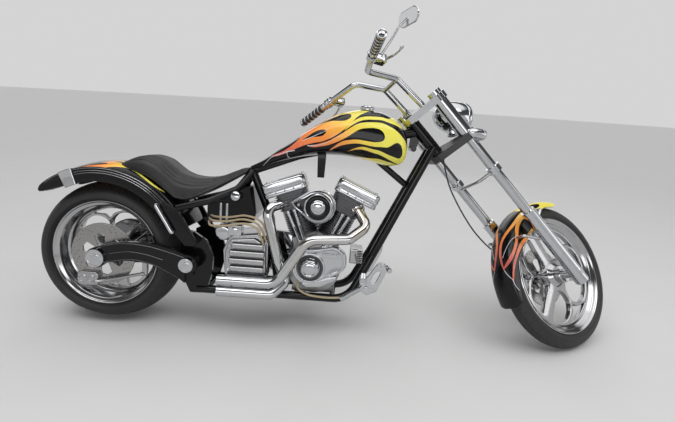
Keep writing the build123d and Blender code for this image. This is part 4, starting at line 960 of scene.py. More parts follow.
def cam_cover_shapes():
    """Cover over the timing gears: a plate with a raised rim, a turned dark ring, a domed cap and bolts."""
    line = outline_round(np.concatenate([disc_line(84, 72, 950, 335), disc_line(66, 60, 1050, 372),
                                         CAM_POINTS]), 6)
    body = inset_stack(line, [(78.3, 0), (114, 0), (117.5, 1.2), (119.4, 3.6), (120, 7), (120, 14),
                              (117.2, 17), (116.6, 20)])
    ring = [(110, 0.01), (110, 70), (122, 70), (124.6, 68), (125.4, 65), (124.6, 62), (119.0, 60),
            (118.0, 58)]
    cap = [(117, 46), (121, 45.2), (122, 43.6), (139, 42.4), (143, 40), (146, 35.5), (147, 31),
           (145.6, 29), (147.2, 26), (148.9, 16), (149.3, 0.01)]
    recess = [(112, 0.01), (112, 59), (118.4, 59), (118.4, 44), (112.5, 43), (112.4, 0.01)]
    at = (950, 0, 335)
    heads = [((x, -119.6, z), RIGHT, 5.6) for x, z in bolts_round(line, 9, 9, 0.35)]
    heads += [((950 + 34 * math.cos(a), -147.2, 335 + 34 * math.sin(a)), RIGHT, 3.2)
              for a in np.radians(range(20, 380, 72))]
    rib = rounded_polygon([(-34, -9), (34, -9), (40, 9), (-40, 9)], 5)
    cover = joined(on_right(body), lathe(ring, 96, RIGHT, at), lathe(cap, 96, RIGHT, at),
                   on_right(plate_of([rib], 116, 121.5, 2, 3), 1040, 398),
                   on_right(plate_of([rounded_polygon(CAM_PAN, 12)], 100, 123, 5, 4)))
    return cover, lathe(recess, 96, RIGHT, at), bolt_heads(heads, 3.0, 20, True)


def air_cleaner_shapes():
    """Round cover with a drawn-out side: chrome steps along the rim, a dark field and a domed middle."""
    x, z = 971.0, 622.0
    at = (x, 0, z)
    pointed = np.array([(846, 632), (858, 612), (930, 556), (1010, 560), (1010, 690), (930, 690)], float)
    line = outline_round(np.concatenate([disc_line(78, 96, x, z), pointed]), 5)
    shell = inset_stack(line, [(100, 2), (102, 0), (118, 0), (119.5, 1.6), (119.5, 3.4), (121.5, 3.6),
                               (130, 4), (131.5, 5.4), (131.5, 7.2), (133.5, 7.6), (139, 8.4), (142, 11),
                               (142.6, 14), (141, 17), (137, 19), (136.5, 22)])
    ring = [(136, 60), (146, 61), (151, 62.5), (154.6, 60.5), (156, 57.5), (155, 54.5), (150, 52),
            (147, 51)]
    dark = [(130, 0.01), (130, 53), (148, 52.4), (150.6, 46), (151.4, 40), (150.0, 34.5), (147.5, 33.2),
            (140, 32), (140, 0.01)]
    dome = [(146, 34), (151, 33.4), (154.6, 31), (156.4, 27.6), (157, 22), (158.6, 20.4), (161.4, 12),
            (162, 0.01)]
    field = rounded_polygon([(861, 627), (930, 571), (930, 676), (880, 646)], 6)
    return (joined(on_right(shell), lathe(ring, 96, RIGHT, at), lathe(dome, 72, RIGHT, at)),
            joined(lathe(dark, 96, RIGHT, at), on_right(plate_of([field], 134, 137.6, 1.2, 2))),
            bolt_heads([((884, -137.4, 625), RIGHT, 6.0)], 3.0, 20, True))


PIPE_FRONT = [(1150, -60, 610), (1196, -122, 548), (1118, -165, 492), (935, -168, 478), (806, -168, 264),
              (540, -168, 264)]
PIPE_REAR = [(812, -50, 616), (738, -112, 594), (804, -116, 350), (846, -118, 262), (786, -166, 212),
             (540, -168, 212)]


# Radii of each pipe's bends, and its lip at the open end
PIPES = [(PIPE_FRONT, [42, 42, 90, 90]), (PIPE_REAR, [44, 60, 30, 34])]
PIPE_LIP = [(-4, 24), (-2, 24.0), (0, 23.4), (0.6, 22.2), (-1, 21.2), (-60, 21), (-60, 0.01)]


def exhaust_shape():
    """Two pipes with wide bends, a flange with nuts at each port and open ends with a thick lip."""
    parts, heads = [], []
    for points, radii in PIPES:
        line = bent_line(points, radii, 4.0)
        line[-1, 0] += 2.0
        start, second, last = np.array([points[0], points[1], points[-1]], float)
        way = unit(second - start)
        side = unit(np.cross(way, (0, 0, 1)))
        nuts = [start + side * k * 28 for k in (-1, 1)]
        parts += [tube(line, 24.0, 40, caps=False), lathe(PIPE_LIP, 40, (-1, 0, 0), points[-1]),
                  lathe([(-2, 0.01), (-2, 30), (0, 33), (7, 33), (9, 30), (9, 24)], 40, way, start)]
        parts += [rod(nut + way * -2, nut + way * 9, 8.5) for nut in nuts]
        parts.append(lathe([(60, 24.1), (61, 25.4), (68, 25.4), (69, 24.1)], 40, (1, 0, 0), last))
        heads += [(nut + way * 9, way, 5.5) for nut in nuts]
    return joined(*parts), bolt_heads(heads, 4.0)


CASE_LINE = [(552, 262), (752, 262), (752, 436), (700, 466), (570, 452), (540, 380)]
SIDE_LINE = [(566, 286), (748, 286), (744, 424), (690, 452), (580, 440), (560, 380)]
GEARBOX_RIBS = [(298, 322, 584, 740), (334, 358, 580, 742), (370, 394, 582, 742), (406, 428, 592, 736)]


def gearbox_shapes():
    """Gearbox: a plain case, and a side cover whose broad polished ribs stand over dark hollows."""
    side = rounded_polygon(SIDE_LINE, 16)
    case = on_right(plate_of([rounded_polygon(CASE_LINE, 14)], -88, 90, 5, 4))
    cover = on_right(plate_of([side], 89, 122, 5, 4))
    ribs, hollows = [], []
    for low, top, back, front in GEARBOX_RIBS:
        wide, high, middle = front - back, top - low, ((front + back) / 2, (low + top) / 2)
        ribs.append(on_right(soft_box(wide, high, 6, 120, 140.6, 5), *middle))
        hollow = box_line(wide, high, 7) * [1.0, 1.45]
        hollows.append(on_right(plate_of([hollow], 118, 123.6, 1, 2), *middle))
    heads = [((x, -122, z), RIGHT, 5.2) for x, z in bolts_round(side, 8, 10, 0.2)]
    heads += [((600, -141, (low + top) / 2), RIGHT, 4.0) for low, top, _, _ in GEARBOX_RIBS[1:3]]
    return joined(case, cover, *ribs), joined(*hollows), bolt_heads(heads, 3.0, 20, True)


def starter_shape():
    """Starter motor: a turned body with a stepped end cap, and the solenoid's box beside it."""
    body = [(-20, 0.01), (-20, 34), (-16, 36), (60, 36), (61, 37.5), (66, 37.5), (67, 36), (104, 36),
            (105, 37.4), (110, 37.4), (112, 35), (116, 30), (118, 22), (118, 0.01)]
    box = on_right(soft_box(62, 50, 9, 64, 120, 4), 600, 484)
    cap = lathe([(118, 16), (122, 15), (124, 11), (124.4, 0.01)], 32, RIGHT, (600, 0, 484))
    return joined(lathe(body, 64, RIGHT, (545, 0, 470)), box, cap)


def primary_shapes():
    """Primary cover on the left: a long rounded case with two raised round lids and bolts round its rim."""
    line = outline_round(np.concatenate([disc_line(92, 90, 965, 330), disc_line(112, 90, 640, 330)]), 7)
    body = inset_stack(line, [(-207.9, 26), (-207.9, 22), (-206.5, 19.5), (-203, 18.4), (-199, 17.8),
                              (-196.6, 14), (-196, 9), (-194.6, 4), (-190, 1), (-186, 0), (-159, 0),
                              (-158, 1.5)])
    heads = [((x, 196, z), (0, 1, 0), 5.4) for x, z in bolts_round(line, 9, 16, 0.5)]
    lids = [lathe([(196, 0.01), (206, r + 3), (209, r), (210, r - 4), (208.6, r - 7), (209.6, r - 10),
                   (209.8, 0.01)], 64, (0, 1, 0), (x, 0, 330)) for x, r in ((700, 44), (940, 30))]
    return joined(on_right(body), *lids), bolt_heads(heads, 3.0, 20, True)


OIL_LINES = [
    [(476, -100, 520), (492, -116, 500), (560, -124, 504), (640, -126, 520), (700, -126, 504),
     (726, -124, 452), (733, -118, 420)],
    [(476, -98, 534), (500, -112, 522), (566, -116, 524), (640, -118, 538), (704, -118, 520),
     (734, -116, 470), (744, -110, 436)],
    [(478, -96, 548), (510, -106, 540), (574, -110, 542), (644, -110, 554), (710, -110, 536),
     (744, -108, 486), (752, -100, 450)],
    [(906, -104, 284), (898, -114, 236), (946, -122, 208), (1030, -124, 200), (1108, -116, 202)],
]


HOSE_R = 5.0


def oil_hose_shapes():
    """Hoses as smooth tubes and the turned fittings at both ends of each; returns hoses and fittings."""
    covers, fittings = [], []
    fitting = [(-1, 0.01), (-1, 6.4), (1, 8), (5, 8), (6, 5.76), (14, 5.6), (15, HOSE_R)]
    for points in OIL_LINES:
        line = even_line(rounded_line(points, 12), 2.5)
        covers.append(tube(line, HOSE_R, 16))
        fittings += [lathe(fitting, 6, line[1] - line[0], line[0]),
                     lathe(fitting, 6, line[-2] - line[-1], line[-1])]
    return joined(*covers), joined(*fittings)


def engine_pieces():
    """Every visible piece of the engine and gearbox, with the node that it stands for."""
    fins = joined(*(finned_cylinder(angle) for angle, _, _ in BANKS))
    boxes = [rocker_box(angle, shift) for angle, shift, _ in BANKS]
    rods = joined(*(push_rods(angle, offsets) for angle, _, offsets in BANKS))
    cam, recess, cam_bolts = cam_cover_shapes()
    cleaner, field, cleaner_bolts = air_cleaner_shapes()
    pipes, nuts = exhaust_shape()
    box, hollows, box_bolts = gearbox_shapes()
    primary, primary_bolts = primary_shapes()
    bolts = joined(*(b[1] for b in boxes), cam_bolts, cleaner_bolts, nuts, box_bolts, primary_bolts)
    covers, fittings = oil_hose_shapes()
    piece("cylinder_fins", fins, "frame", "cast_alloy", ["cylinders"], "fin_alloy")
    piece("rocker_box_lids", joined(*(b[0] for b in boxes)), "frame", "chrome", ["rocker_boxes"])
    piece("pushrod_tubes_turned", rods, "frame", "chrome", ["pushrod_tubes"])
    piece("cam_cover_plate", cam, "frame", "chrome", ["cam_cover"])
    piece("cam_cover_ring", recess, "frame", "satin_black")
    piece("air_cleaner_shell", cleaner, "frame", "chrome", ["air_cleaner"])
    piece("air_cleaner_field", field, "frame", "gloss_black")
    piece("exhaust_pipes_smooth", pipes, "frame", "chrome", ["exhaust_pipes"], "heated_chrome", sharp=40)
    piece("gearbox_ribbed", box, "frame", "polished_alloy", ["gearbox"])
    piece("gearbox_hollows", hollows, "frame", "satin_black")
    piece("starter_turned", starter_shape(), "frame", "chrome", ["starter"])
    piece("primary_cover", primary, "frame", "chrome", ["primary_case"])
    piece("engine_bolts", bolts, "frame", "chrome", sharp=30)
    piece("oil_hoses", covers, "frame", "hose_braid", ["oil_lines"], sharp=None)
    piece("oil_hose_fittings", fittings, "frame", "chrome", sharp=30)


# Lamps, controls, brakes and trim

LAMP = np.array([1612.0, 0.0, 1100.0])


def headlight_shapes():
    """Bullet lamp: a turned shell with a stepped trim ring, a domed lens and a stem under it."""
    shell = [(-98, 0.01), (-96, 14), (-84, 40), (-64, 57), (-40, 69), (-10, 77), (20, 80), (40, 80),
             (42, 82), (50, 83.4), (60, 82.4), (65, 79), (66.4, 75), (64, 71.5), (60, 70)]
    lens = [(58, 0.01), (58, 71.2), (61, 71.2), (66, 58), (69.4, 36), (71.2, 14), (71.8, 0.01)]
    stem = [(-44, 22), (-40, 22), (-38, 16), (-4, 14), (0, 14)]
    return (joined(lathe(shell, 96, (1, 0, 0), LAMP), lathe(stem, 32, (0, 0, 1), (1604, 0, 1047.0))),
            lathe(lens, 96, (1, 0, 0), LAMP))


def signal_shapes():
    """Two small bullet signals with trim rings and lenses."""
    shell = [(-44, 0.01), (-42, 7), (-34, 17), (-18, 22.6), (0, 25), (30, 25), (31, 26.2), (40, 26.2),
             (43, 24.6), (43, 22)]
    lens = [(36, 0.01), (36, 22.6), (43, 22.6), (50, 16), (53.6, 7), (54.2, 0.01)]
    places = [np.array([1594.0, side * 154.0, 940.0]) for side in (1, -1)]
    return tuple(joined(*(lathe(profile, 48, (1, 0, 0), at) for at in places)) for profile in (shell, lens))


def grip_shapes():
    """Bar grips: turned metal with rubber bands in wide grooves, and a ringed end with a domed middle."""
    start, end = np.array([1036, 216, 1144.5]), np.array([978, 362, 1109.6])
    way = end - start
    length = np.linalg.norm(way)
    metal = [(0, 0.01), (0, 18), (1, 19), (14, 19), (15, 17.6)]
    bands = []
    for z in 20 + 22.5 * np.arange(6):
        metal += [(z - 1, 17.4), (z, 16.6), (z + 14, 16.6), (z + 15, 17.4), (z + 16, 19), (z + 20.5, 19)]
        band = [(0.4, 16.0), (0.8, 18.4), (2, 19.3), (12, 19.3), (13.2, 18.4), (13.6, 16.0)]
        bands.append(lathe([(z + along, r) for along, r in band], 40, way, start))
    metal += [(length - back, r) for back, r in ((8, 17.6), (7, 19), (2, 18.6), (0.6, 16.4), (1.4, 14.4),
                                                 (4.2, 13.6), (4.6, 11.6), (1.6, 10.4), (0.4, 6), (0, 0.01))]
    return with_twin(lathe(metal, 40, way, start)), with_twin(joined(*bands))


def hand_shapes():
    """Clamps, fluid reservoirs with screwed lids, and levers that swell to a ball."""
    clamp = rod((1052, 176, 1154.5), (1040, 206, 1147), [(0, 21), (0.08, 23), (0.42, 23), (0.46, 21.6),
                                                         (0.54, 21.6), (0.58, 23), (0.92, 23), (1, 21)], 40)
    boxes = [place_on(soft_box(*sizes), (1086, 178, 1158), (1, 0, 0), (0, 1, 0))
             for sizes in ((56, 40, 9, -16, 9, 4), (58, 42, 10, 10.5, 16, 2.2))]
    heads = [((1086 + x, 178 + y, 1173.6), (0, 0, 1), 4.0) for x in (-20, 20) for y in (-12, 12)]
    line = even_line(rounded_line([(1098, 184, 1152), (1106, 214, 1146), (1108, 252, 1136),
                                   (1098, 296, 1122), (1086, 330, 1112)], 8), 4)
    share = np.linspace(0, 1, len(line))
    swell = 6.4 - 1.6 * np.sin(share * math.pi) + 1.6 * np.exp(-((share - 0.96) / 0.05) ** 2)
    pivot = [(-16, 0.01), (-16, 9), (-14, 10), (12, 10), (14, 9), (14, 0.01)]
    metal = joined(clamp, *boxes, tube(line, swell, 16), lathe(pivot, 24, (0, 0, 1), (1098, 190, 1154)))
    return with_twin(metal), with_twin(bolt_heads(heads, 2.4, 16, True))


def mirror_shapes():
    """One mirror on a bent stem: a rounded shell with a rim round its flat glass."""
    stem = even_line(rounded_line([(1092, -180, 1172), (1112, -222, 1214), (1132, -262, 1262),
                                   (1144, -286, 1276), (1150, -300, 1283)], 10), 3)
    normal = unit((1, 0, 0.25))
    v = unit(np.cross(normal, unit((0, 1, 0.3))))
    u = unit(np.cross(v, normal))
    at = np.array([1150, -302, 1286.0])
    shell = slot_stack(28, 31, 72, [(-0.2, -6), (-0.2, -3.4), (0.6, -1.2), (2.4, 0), (6, 0), (10, -3),
                                    (13, -9), (15.2, -17), (16, -24)])
    face = slot_stack(28, 31, 72, [(-0.5, -4.6), (-0.5, -4.0), (0.9, -3.6)])
    knuckle = [(-9, 0.01), (-9, 8), (-7, 9), (9, 9), (11, 7), (11, 0.01)]
    body = joined(tube(stem, 5.6 - 1.2 * np.linspace(0, 1, len(stem)), 20), place_on(shell, at, u, v),
                  lathe(knuckle, 24, (0, 0, 1), (1092, -180, 1168)))
    return body, place_on(face, at, u, v)


def caliper_shapes(at, u, v, wide, high, low, top):
    """Brake caliper: two halves with a split line, piston bosses on both sides and bridge bolts."""
    middle = (low + top) / 2
    parts = [place_on(soft_box(wide, high, 16, low, middle - 0.8, 5), at, u, v),
             place_on(soft_box(wide, high, 16, middle + 0.8, top, 5), at, u, v)]
    w = np.cross(unit(u), unit(v))
    along = unit(u if wide > high else v)
    boss = [(-3, 0.01), (-3, 17), (1.2, 17), (2.6, 15.4), (1.6, 13), (1.6, 0.01)]
    heads = []
    for k in (-1, 1):
        foot = np.asarray(at, float) + along * k * max(wide, high) * 0.2
        parts += [lathe(boss, 40, -w, foot + w * low), lathe(boss, 40, w, foot + w * top)]
        bolt = np.asarray(at, float) + along * k * max(wide, high) * 0.42
        heads.append((bolt + w * (top - 1), w, 6.0))
    return joined(*parts), bolt_heads(heads, 5.0)


FOOT_PLATE = [(1178, 262), (1214, 238), (1258, 258), (1304, 372), (1284, 396), (1256, 392), (1216, 330)]
FOOT_WINDOW = [(1226, 300), (1250, 296), (1272, 352), (1256, 356), (1240, 336)]


def foot_shapes():
    """Forward controls on both sides: a cut plate, cross rods, a ribbed peg and a pedal with a toe roller."""
    plate = on_right(plate_of([rounded_polygon(FOOT_PLATE, 14), rounded_polygon(FOOT_WINDOW, 7),
                               disc_line(7, 20, 1212, 268), disc_line(6, 20, 1280, 378)], 150, 162, 3, 4))
    peg_at, peg_to = np.array([1195, 160, 330.0]), np.array([1186, 286, 342.0])
    length = np.linalg.norm(peg_to - peg_at)
    peg = [(0, 0.01), (0, 12), (14, 12), (15, 15)]
    for z in 18 + 12.6 * np.arange(8):
        peg += [(z, 15.4), (z + 1.6, 13.2), (z + 5, 13.2), (z + 6.6, 15.4)]
    peg += [(length - 6, 15.6), (length - 1, 14), (length, 0.01)]
    parts = [mirrored(plate), lathe(peg, 36, peg_to - peg_at, peg_at),
             rod((1104, 112, 196), (1204, 152, 276),
                 [(0, 13), (0.1, 14), (0.14, 12), (0.86, 12), (0.9, 14), (1, 13)], 28),
             rod((1296, 158, 380), (1300, 240, 384), [(0, 8), (0.3, 8), (0.34, 11), (0.96, 11), (1, 9)], 28),
             rod((1212, 140, 268), (1212, 170, 268), 11), rod((1280, 146, 378), (1280, 170, 378), 10)]
    heads = [((x, 162, z), (0, 1, 0), r)
             for x, z, r in ((1240, 276, 6.5), (1204, 300, 6.5), (1266, 330, 5.0))]
    return with_twin(joined(*parts)), with_twin(bolt_heads(heads, 4.0))


AXLE_CAP = [(0, 0.01), (0, 38), (2, 40), (9, 40), (12, 37), (12.6, 33), (10.4, 29), (10, 24), (12, 20),
            (13.4, 14), (12.4, 9), (13.0, 5), (13.2, 0.01)]


def cap_shapes():
    """Polished caps over the rear axle and the swingarm's pivot: a dish with rings and a middle screw."""
    parts = []
    for x, z, r in ((0.0, REAR_R, 40.0), (405.0, 325.0, 32.0)):
        line = [(along, radius * r / 40 if radius > 1 else radius) for along, radius in AXLE_CAP]
        parts.append(lathe(line, 72, RIGHT, (x, -180.0, z)))
    return with_twin(joined(*parts))


def filler_shape():
    """Filler cap: a turned dome with a milled edge."""
    at = (1158, -26, 1061)
    cap = lathe([(0, 0.01), (0, 28), (2, 28), (3, 31), (13, 31), (16, 29.4), (17, 26), (18, 23.4), (20, 21),
                 (20.8, 10), (21, 0.01)], 96, (0, 0, 1), at)
    feet = [np.array(at) + [x, y, 4] for x, y in disc_line(30.6, 36)]
    return joined(cap, *(rod(foot, foot + [0, 0, 8.4], 1.5, 8) for foot in feet))


def regulator_shape():
    """Voltage regulator in front of the engine: a moulded block with fins towards the front."""
    block = place_on(soft_box(110, 72, 8, -24, 14, 4), (1154, 0, 386), (0, 1, 0), (0, 0, 1))
    fins = [place_on(soft_box(106, 4.2, 1.5, 12, 36.5, 1.2), (1154, 0, z), (0, 1, 0), (0, 0, 1))
            for z in 356 + 8.6 * np.arange(8)]
    return joined(block, *fins)


def oil_tank_trim():
    """The oil tank's screwed cap and two polished strips on its side."""
    cap = lathe([(-2, 18), (0, 20), (12, 20), (14, 21.4), (24, 21.4), (27, 19.6), (30, 14), (31, 0.01)], 48,
                (0, -1, 0.2), (604, -118, 640))
    strips = [on_right(soft_box(11, 92, 5, 104, 109.5, 2.2), x, z) for x, z in ((532, 560), (560, 558))]
    return joined(cap, *strips)


def tail_lens_shapes():
    """Long red lens with a rounded face, across the rear fender near its end, and the rim round it."""
    x, z = polar_point(1, 137.0)
    out = np.array([x, 0, z])
    at = REAR_AXLE + 428 * out
    v = np.cross(out, (0, 1, 0))
    lens = slot_stack(28, 15, 64, [(-1, -0.4), (6, -0.4), (9.6, -1.6), (12, -4.6), (13.6, -9), (14, -12)])
    rim = slot_stack(28, 15, 64, [(-1.5, 1.6), (3.4, 1.6), (4.4, 0.8), (4.4, -0.3)])
    return place_on(lens, at, (0, 1, 0), v), place_on(rim, at, (0, 1, 0), v)


# Lines on the right arm as (x, z), and on the strut as radius, first and last angle about the axle
ARM_STRIPES = [
    [(-8, 364), (60, 392), (150, 403), (240, 396), (330, 376), (392, 358)],
    [(-4, 294), (70, 318), (170, 331), (270, 310), (340, 276), (388, 250)],
    [(60, 352), (140, 366), (220, 360), (300, 340)],
]
STRUT_STRIPES = [(396, 40, 127), (385, 41, 106), (375, 42, 106)]


STRUT_TIP = [(400, 131), (392, 133.6), (381, 134), (371, 132), (360, 128), (348, 121.5), (339, 114)]


def about_axle(radius, angles):
    """Flat points at one radius about the rear axle."""
    return [polar_point(radius, a) for a in angles]


def strut_shapes():
    """Fender struts: a curved band about the rear axle whose tail end tapers to a round tip, with the
    plate that ties it to the frame; and the polished sleeve that is slid over the band."""
    tip = [polar_point(r, a) for r, a in STRUT_TIP]
    band = np.array(about_axle(401.6, range(38, 129, 3)) + tip + about_axle(336.2, range(110, 37, -3)))
    stay = rounded_polygon([(302, 592), (352, 566), (440, 420), (424, 402), (384, 402), (262, 540)], 10)
    foot = rounded_polygon([(392, 404), (424, 404), (436, 420), (420, 444), (388, 440)], 5)
    around = np.array(about_axle(405, range(107, 117)) + about_axle(332.5, range(116, 106, -1)))
    plates = joined(on_right(plate_of([band + [0, REAR_R]], 135, 149, 3.2, 4)),
                    on_right(plate_of([stay], 135.2, 148.8, 3, 4)),
                    on_right(plate_of([foot], 108, 136, 1.5, 2)))
    return with_twin(plates), with_twin(on_right(plate_of([around + [0, REAR_R]], 133, 152.6, 3, 4)))


def pinstripes():
    """Thin silver lines on the black arms and the fender struts."""
    lines = []
    for radius, first, last in STRUT_STRIPES:
        turn = np.radians(np.linspace(first, last, 80))
        x, z = radius * np.cos(turn), REAR_R + radius * np.sin(turn)
        lines.append(np.stack([x, np.full(80, -149.1), z], 1))
    for points in ARM_STRIPES:
        lines.append(even_line(rounded_line([(x, -178.4, z) for x, z in points], 10), 4))
    return with_twin(joined(*(tube(line, 0.9, 6) for line in lines)))


def front_trim():
    """Lamps, grips, hand controls and the mirror, which turn with the steering."""
    shell, lens = headlight_shapes()
    piece("headlight_shell", shell, "steering", "chrome", ["headlight"])
    piece("headlight_lens", lens, "steering", "polished_alloy", finish="clear_lens")
    shell, lens = signal_shapes()
    piece("signal_shells", shell, "steering", "chrome")
    piece("signal_lenses", lens, "steering", "polished_alloy", finish="clear_lens")
    metal, bands = grip_shapes()
    piece("grip_sleeves", metal, "steering", "chrome", ["grips"])
    piece("grip_bands", bands, "steering", "black_hose")
    metal, heads = hand_shapes()
    piece("hand_levers", metal, "steering", "polished_alloy", ["hand_controls"], "chrome")
    piece("hand_screws", heads, "steering", "chrome")
    metal, face = mirror_shapes()
    piece("mirror_shell", metal, "steering", "chrome", ["mirror"])
    piece("mirror_glass", face, "steering", "chrome", finish="mirror_glass")


def frame_trim():
    """The rear caliper, foot controls, caps, regulator, tail lamp, struts and thin lines."""
    metal, heads = caliper_shapes((-62, 0, 214), (1, 0, 0), (0, 0, 1), 96, 62, 96, 142)
    link = rod((-30, -144, 200), (206, -150, 262),
               [(0, 10), (0.06, 10), (0.08, 7), (0.92, 7), (0.94, 10), (1, 10)], 24)
    lug = on_right(soft_box(22, 90, 6, 146, 156, 2), 206, 300)
    piece("rear_caliper_halves", joined(metal, link, lug), "frame", "polished_alloy", ["rear_caliper"])
    metal, more = foot_shapes()
    piece("foot_levers", metal, "frame", "chrome", ["foot_controls"])
    piece("frame_bolts", joined(heads, more), "frame", "chrome")
    piece("axle_caps", cap_shapes(), "frame", "chrome")
    piece("filler_cap_milled", filler_shape(), "frame", "chrome", ["filler_cap"])
    piece("regulator_finned", regulator_shape(), "frame", "polished_alloy", ["regulator"])
    piece("oil_tank_trim", oil_tank_trim(), "frame", "chrome")
    lens, rim = tail_lens_shapes()
    piece("tail_lamp_lens", lens, "frame", "tail_lens", ["tail_lamp"])
    piece("tail_lamp_rim", rim, "frame", "chrome")
    metal, sleeve = strut_shapes()
    piece("fender_strut_plates", metal, "frame", "gloss_black", ["fender_struts"])
    piece("fender_strut_sleeves", sleeve, "frame", "chrome")
    piece("arm_pinstripes", pinstripes(), "frame", "chrome", finish="polished_alloy")


def front_caliper():
    """The caliper on the right fork leg with its mount."""
    at = fork_point(FORK_OFFSET - 92, 0, 74)
    metal, bolts = caliper_shapes(at, FORE, STEER_UP, 74, 112, -104, -44)
    mount = place_on(soft_box(60, 70, 8, -106, -84, 3), fork_point(FORK_OFFSET - 50, 0, 74), FORE, STEER_UP)
    piece("front_caliper_halves", joined(metal, mount), "steering", "polished_alloy", ["front_caliper"])
    piece("front_caliper_bolts", bolts, "steering", "chrome")


# Fenders

FLAME_FRONT = [
    ("paint", [(127, 50), (131, 46), (136, 45), (141, 41), (146, 31), (150, 21), (154, 12), (159, 6),
        (165, 5), (170, 9), (175, 17), (180, 32), (174, 25), (169, 20), (164, 18), (159, 19), (155, 25),
        (151, 36), (146, 49), (141, 57), (135, 59), (129, 58)]),
    ("paint", [(127, 60), (134, 58), (140, 59), (146, 64), (152, 76), (157, 81), (162, 76), (167, 64),
        (171, 52), (175, 36), (178, 26), (176, 46), (173, 62), (169, 76), (164, 89), (158, 96), (151, 95),
        (146, 86), (141, 79), (135, 77), (129, 80)]),
    ("paint", [(187, 60), (182, 63), (177, 70), (173, 78), (168, 90), (163, 99), (158, 107), (152, 117),
        (146, 130), (141, 137), (134, 142), (128, 144), (128, 153), (136, 152), (143, 150), (149, 143),
        (155, 131), (161, 119), (166, 109), (171, 98), (176, 86), (181, 74), (187, 64)]),
    ("paint", [(78, -30), (96, -24), (112, -30), (121, -10), (125, 20), (124, 48), (118, 66), (116, 90),
        (117, 116), (112, 118), (108, 108), (104, 92), (98, 84), (90, 84), (82, 70)]),
    ("black", [(113, 50), (109, 56), (106, 66), (107, 76), (111, 80), (116, 76), (119, 66), (118, 54)]),
    ("black", [(104, -30), (104, 0), (100, 14), (96, 0), (96, -30)]),
]
STRIPES_FRONT = [
    [(170, 25), (167, 32), (164, 39), (160, 49), (156, 60), (153, 72), (150, 85)],
    [(179, 30), (181, 37), (184, 50), (186, 60), (191, 67), (194, 80)],
]
FLAME_REAR = [
    ("paint", [(121, 112), (114, 116), (107, 122), (101, 120), (97, 112), (94, 98), (91, 80), (89, 58),
        (85, 60), (81, 70), (77, 76), (74, 84), (72, 98), (68, 105), (63, 113), (58, 119), (53, 119),
        (47, 110), (51, 125), (57, 130), (63, 124), (69, 114), (75, 108), (79, 118), (84, 131), (90, 140),
        (96, 138), (103, 133), (110, 128), (117, 121)]),
    ("black", [(102, 118), (98, 116), (92, 116), (88, 108), (88, 98), (92, 92), (96, 96), (98, 106)]),
    ("paint", [(122, 30), (114, 44), (107, 46), (101, 36), (96, 30), (90, 34), (84, 44), (76, 48), (70, 30),
        (68, 0), (68, -20), (92, -20), (97, -6), (103, 12), (110, 24)]),
    ("black", [(92, -20), (90, 8), (84, 22), (78, 20), (75, 0), (75, -20)]),
]
STRIPES_REAR = [
    [(136, 140), (125, 145), (110, 147), (90, 147), (70, 146), (50, 146), (38, 148)],
    [(118, 104), (109, 112), (103, 108), (99, 100)],
    [(86, 52), (80, 60), (75, 68), (70, 84)],
]


def fender_section(s, crown_r, side_r, half):
    """Half width and radius at a distance s from the crown's middle: a quarter ellipse, then straight
    down."""
    t = np.linspace(0, math.pi / 2, 60)
    y = np.concatenate([half * np.sin(t), np.full(30, half)])
    r = np.concatenate([side_r + (crown_r - side_r) * np.cos(t), side_r - np.linspace(5, 130, 30)])
    g = np.concatenate([[0], np.cumsum(np.hypot(np.diff(y), np.diff(r)))])
    return np.interp(s, g, y), np.interp(s, g, r)


# By angle in degrees: how far each skin reaches from its crown, the rear crown's drop, and the warmth
REAR_REACH = [(22, 168), (60, 168), (100, 168), (118, 166), (124, 158), (130, 140), (135, 112), (138.5, 78),
              (140.5, 46), (141.6, 14), (141.8, 5)]
REAR_DROP = [(22, 0), (84, 0), (96, 6), (112, 11), (142, 12)]
REAR_WARM = [(40, 0.9), (66, 1.0), (74, 0.86), (82, 0.62), (90, 0.44), (98, 0.34), (108, 0.2), (120, 0.08)]
FRONT_REACH = [(84.3, 8), (84.8, 34), (86, 62), (90, 81), (97, 83), (102, 88), (106, 102), (111, 126),
               (117, 146), (127, 154), (140, 150), (150, 142), (158, 130), (165, 120), (173, 110), (182, 100),
               (192, 93), (198, 86), (202, 72), (204.4, 50), (205.6, 24), (205.9, 8)]
FRONT_DROP = [(84, 0), (206, 0)]
FRONT_WARM = [(84, 1.0), (112, 0.92), (124, 0.80), (133, 0.62), (142, 0.50), (152, 0.40), (162, 0.26),
              (172, 0.12), (184, 0.22), (190, 0.2)]


def fender_skin(name, centre, shape, wall, tables, layers, stripes, body, node, step):
    """A painted fender: the section is carried round the axle, and its reach down each side and the drop
    of its crown follow tables of the angle. The inner face is the same section, smaller by the wall."""
    crown_r, side_r, half = shape
    reach, drop, colours = (np.array(table, float).T for table in tables)
    angles = np.arange(reach[0, 0], reach[0, -1] + 0.01, math.degrees(step / crown_r))
    low = smooth_table(reach[0], reach[1], angles)
    down = np.interp(angles, *drop)
    share = np.linspace(-1, 1, 2 * int(reach[1].max() / step))
    s = share[None] * low[:, None]
    a = np.radians(angles)[:, None]
    sheets = []
    for thick, order in ((0.0, 1), (wall, -1)):
        y, r = fender_section(np.abs(s), crown_r - thick, side_r - thick * 0.7, half - thick)
        y = y * np.sign(-share)[None]
        r = r - down[:, None]
        sheet = np.stack([centre[0] + r * np.cos(a), y, centre[2] + r * np.sin(a)], 2)
        sheets.append(sheet[:, ::order])
    around = math.radians(crown_r)
    flat = np.stack([np.broadcast_to((angles * around)[:, None], s.shape), np.abs(s)], 2)
    flat = np.concatenate([flat, flat[:, ::-1]], 1)
    warm = np.interp(flat[:, :, 0] / around, *colours)
    scaled = [(kind, [(a * around, b) for a, b in line]) for kind, line in layers]
    lines = [[(a * around, b) for a, b in line] for line in stripes]
    flame_piece(name, np.concatenate(sheets, 1), flat, warm, scaled, lines, body, node)


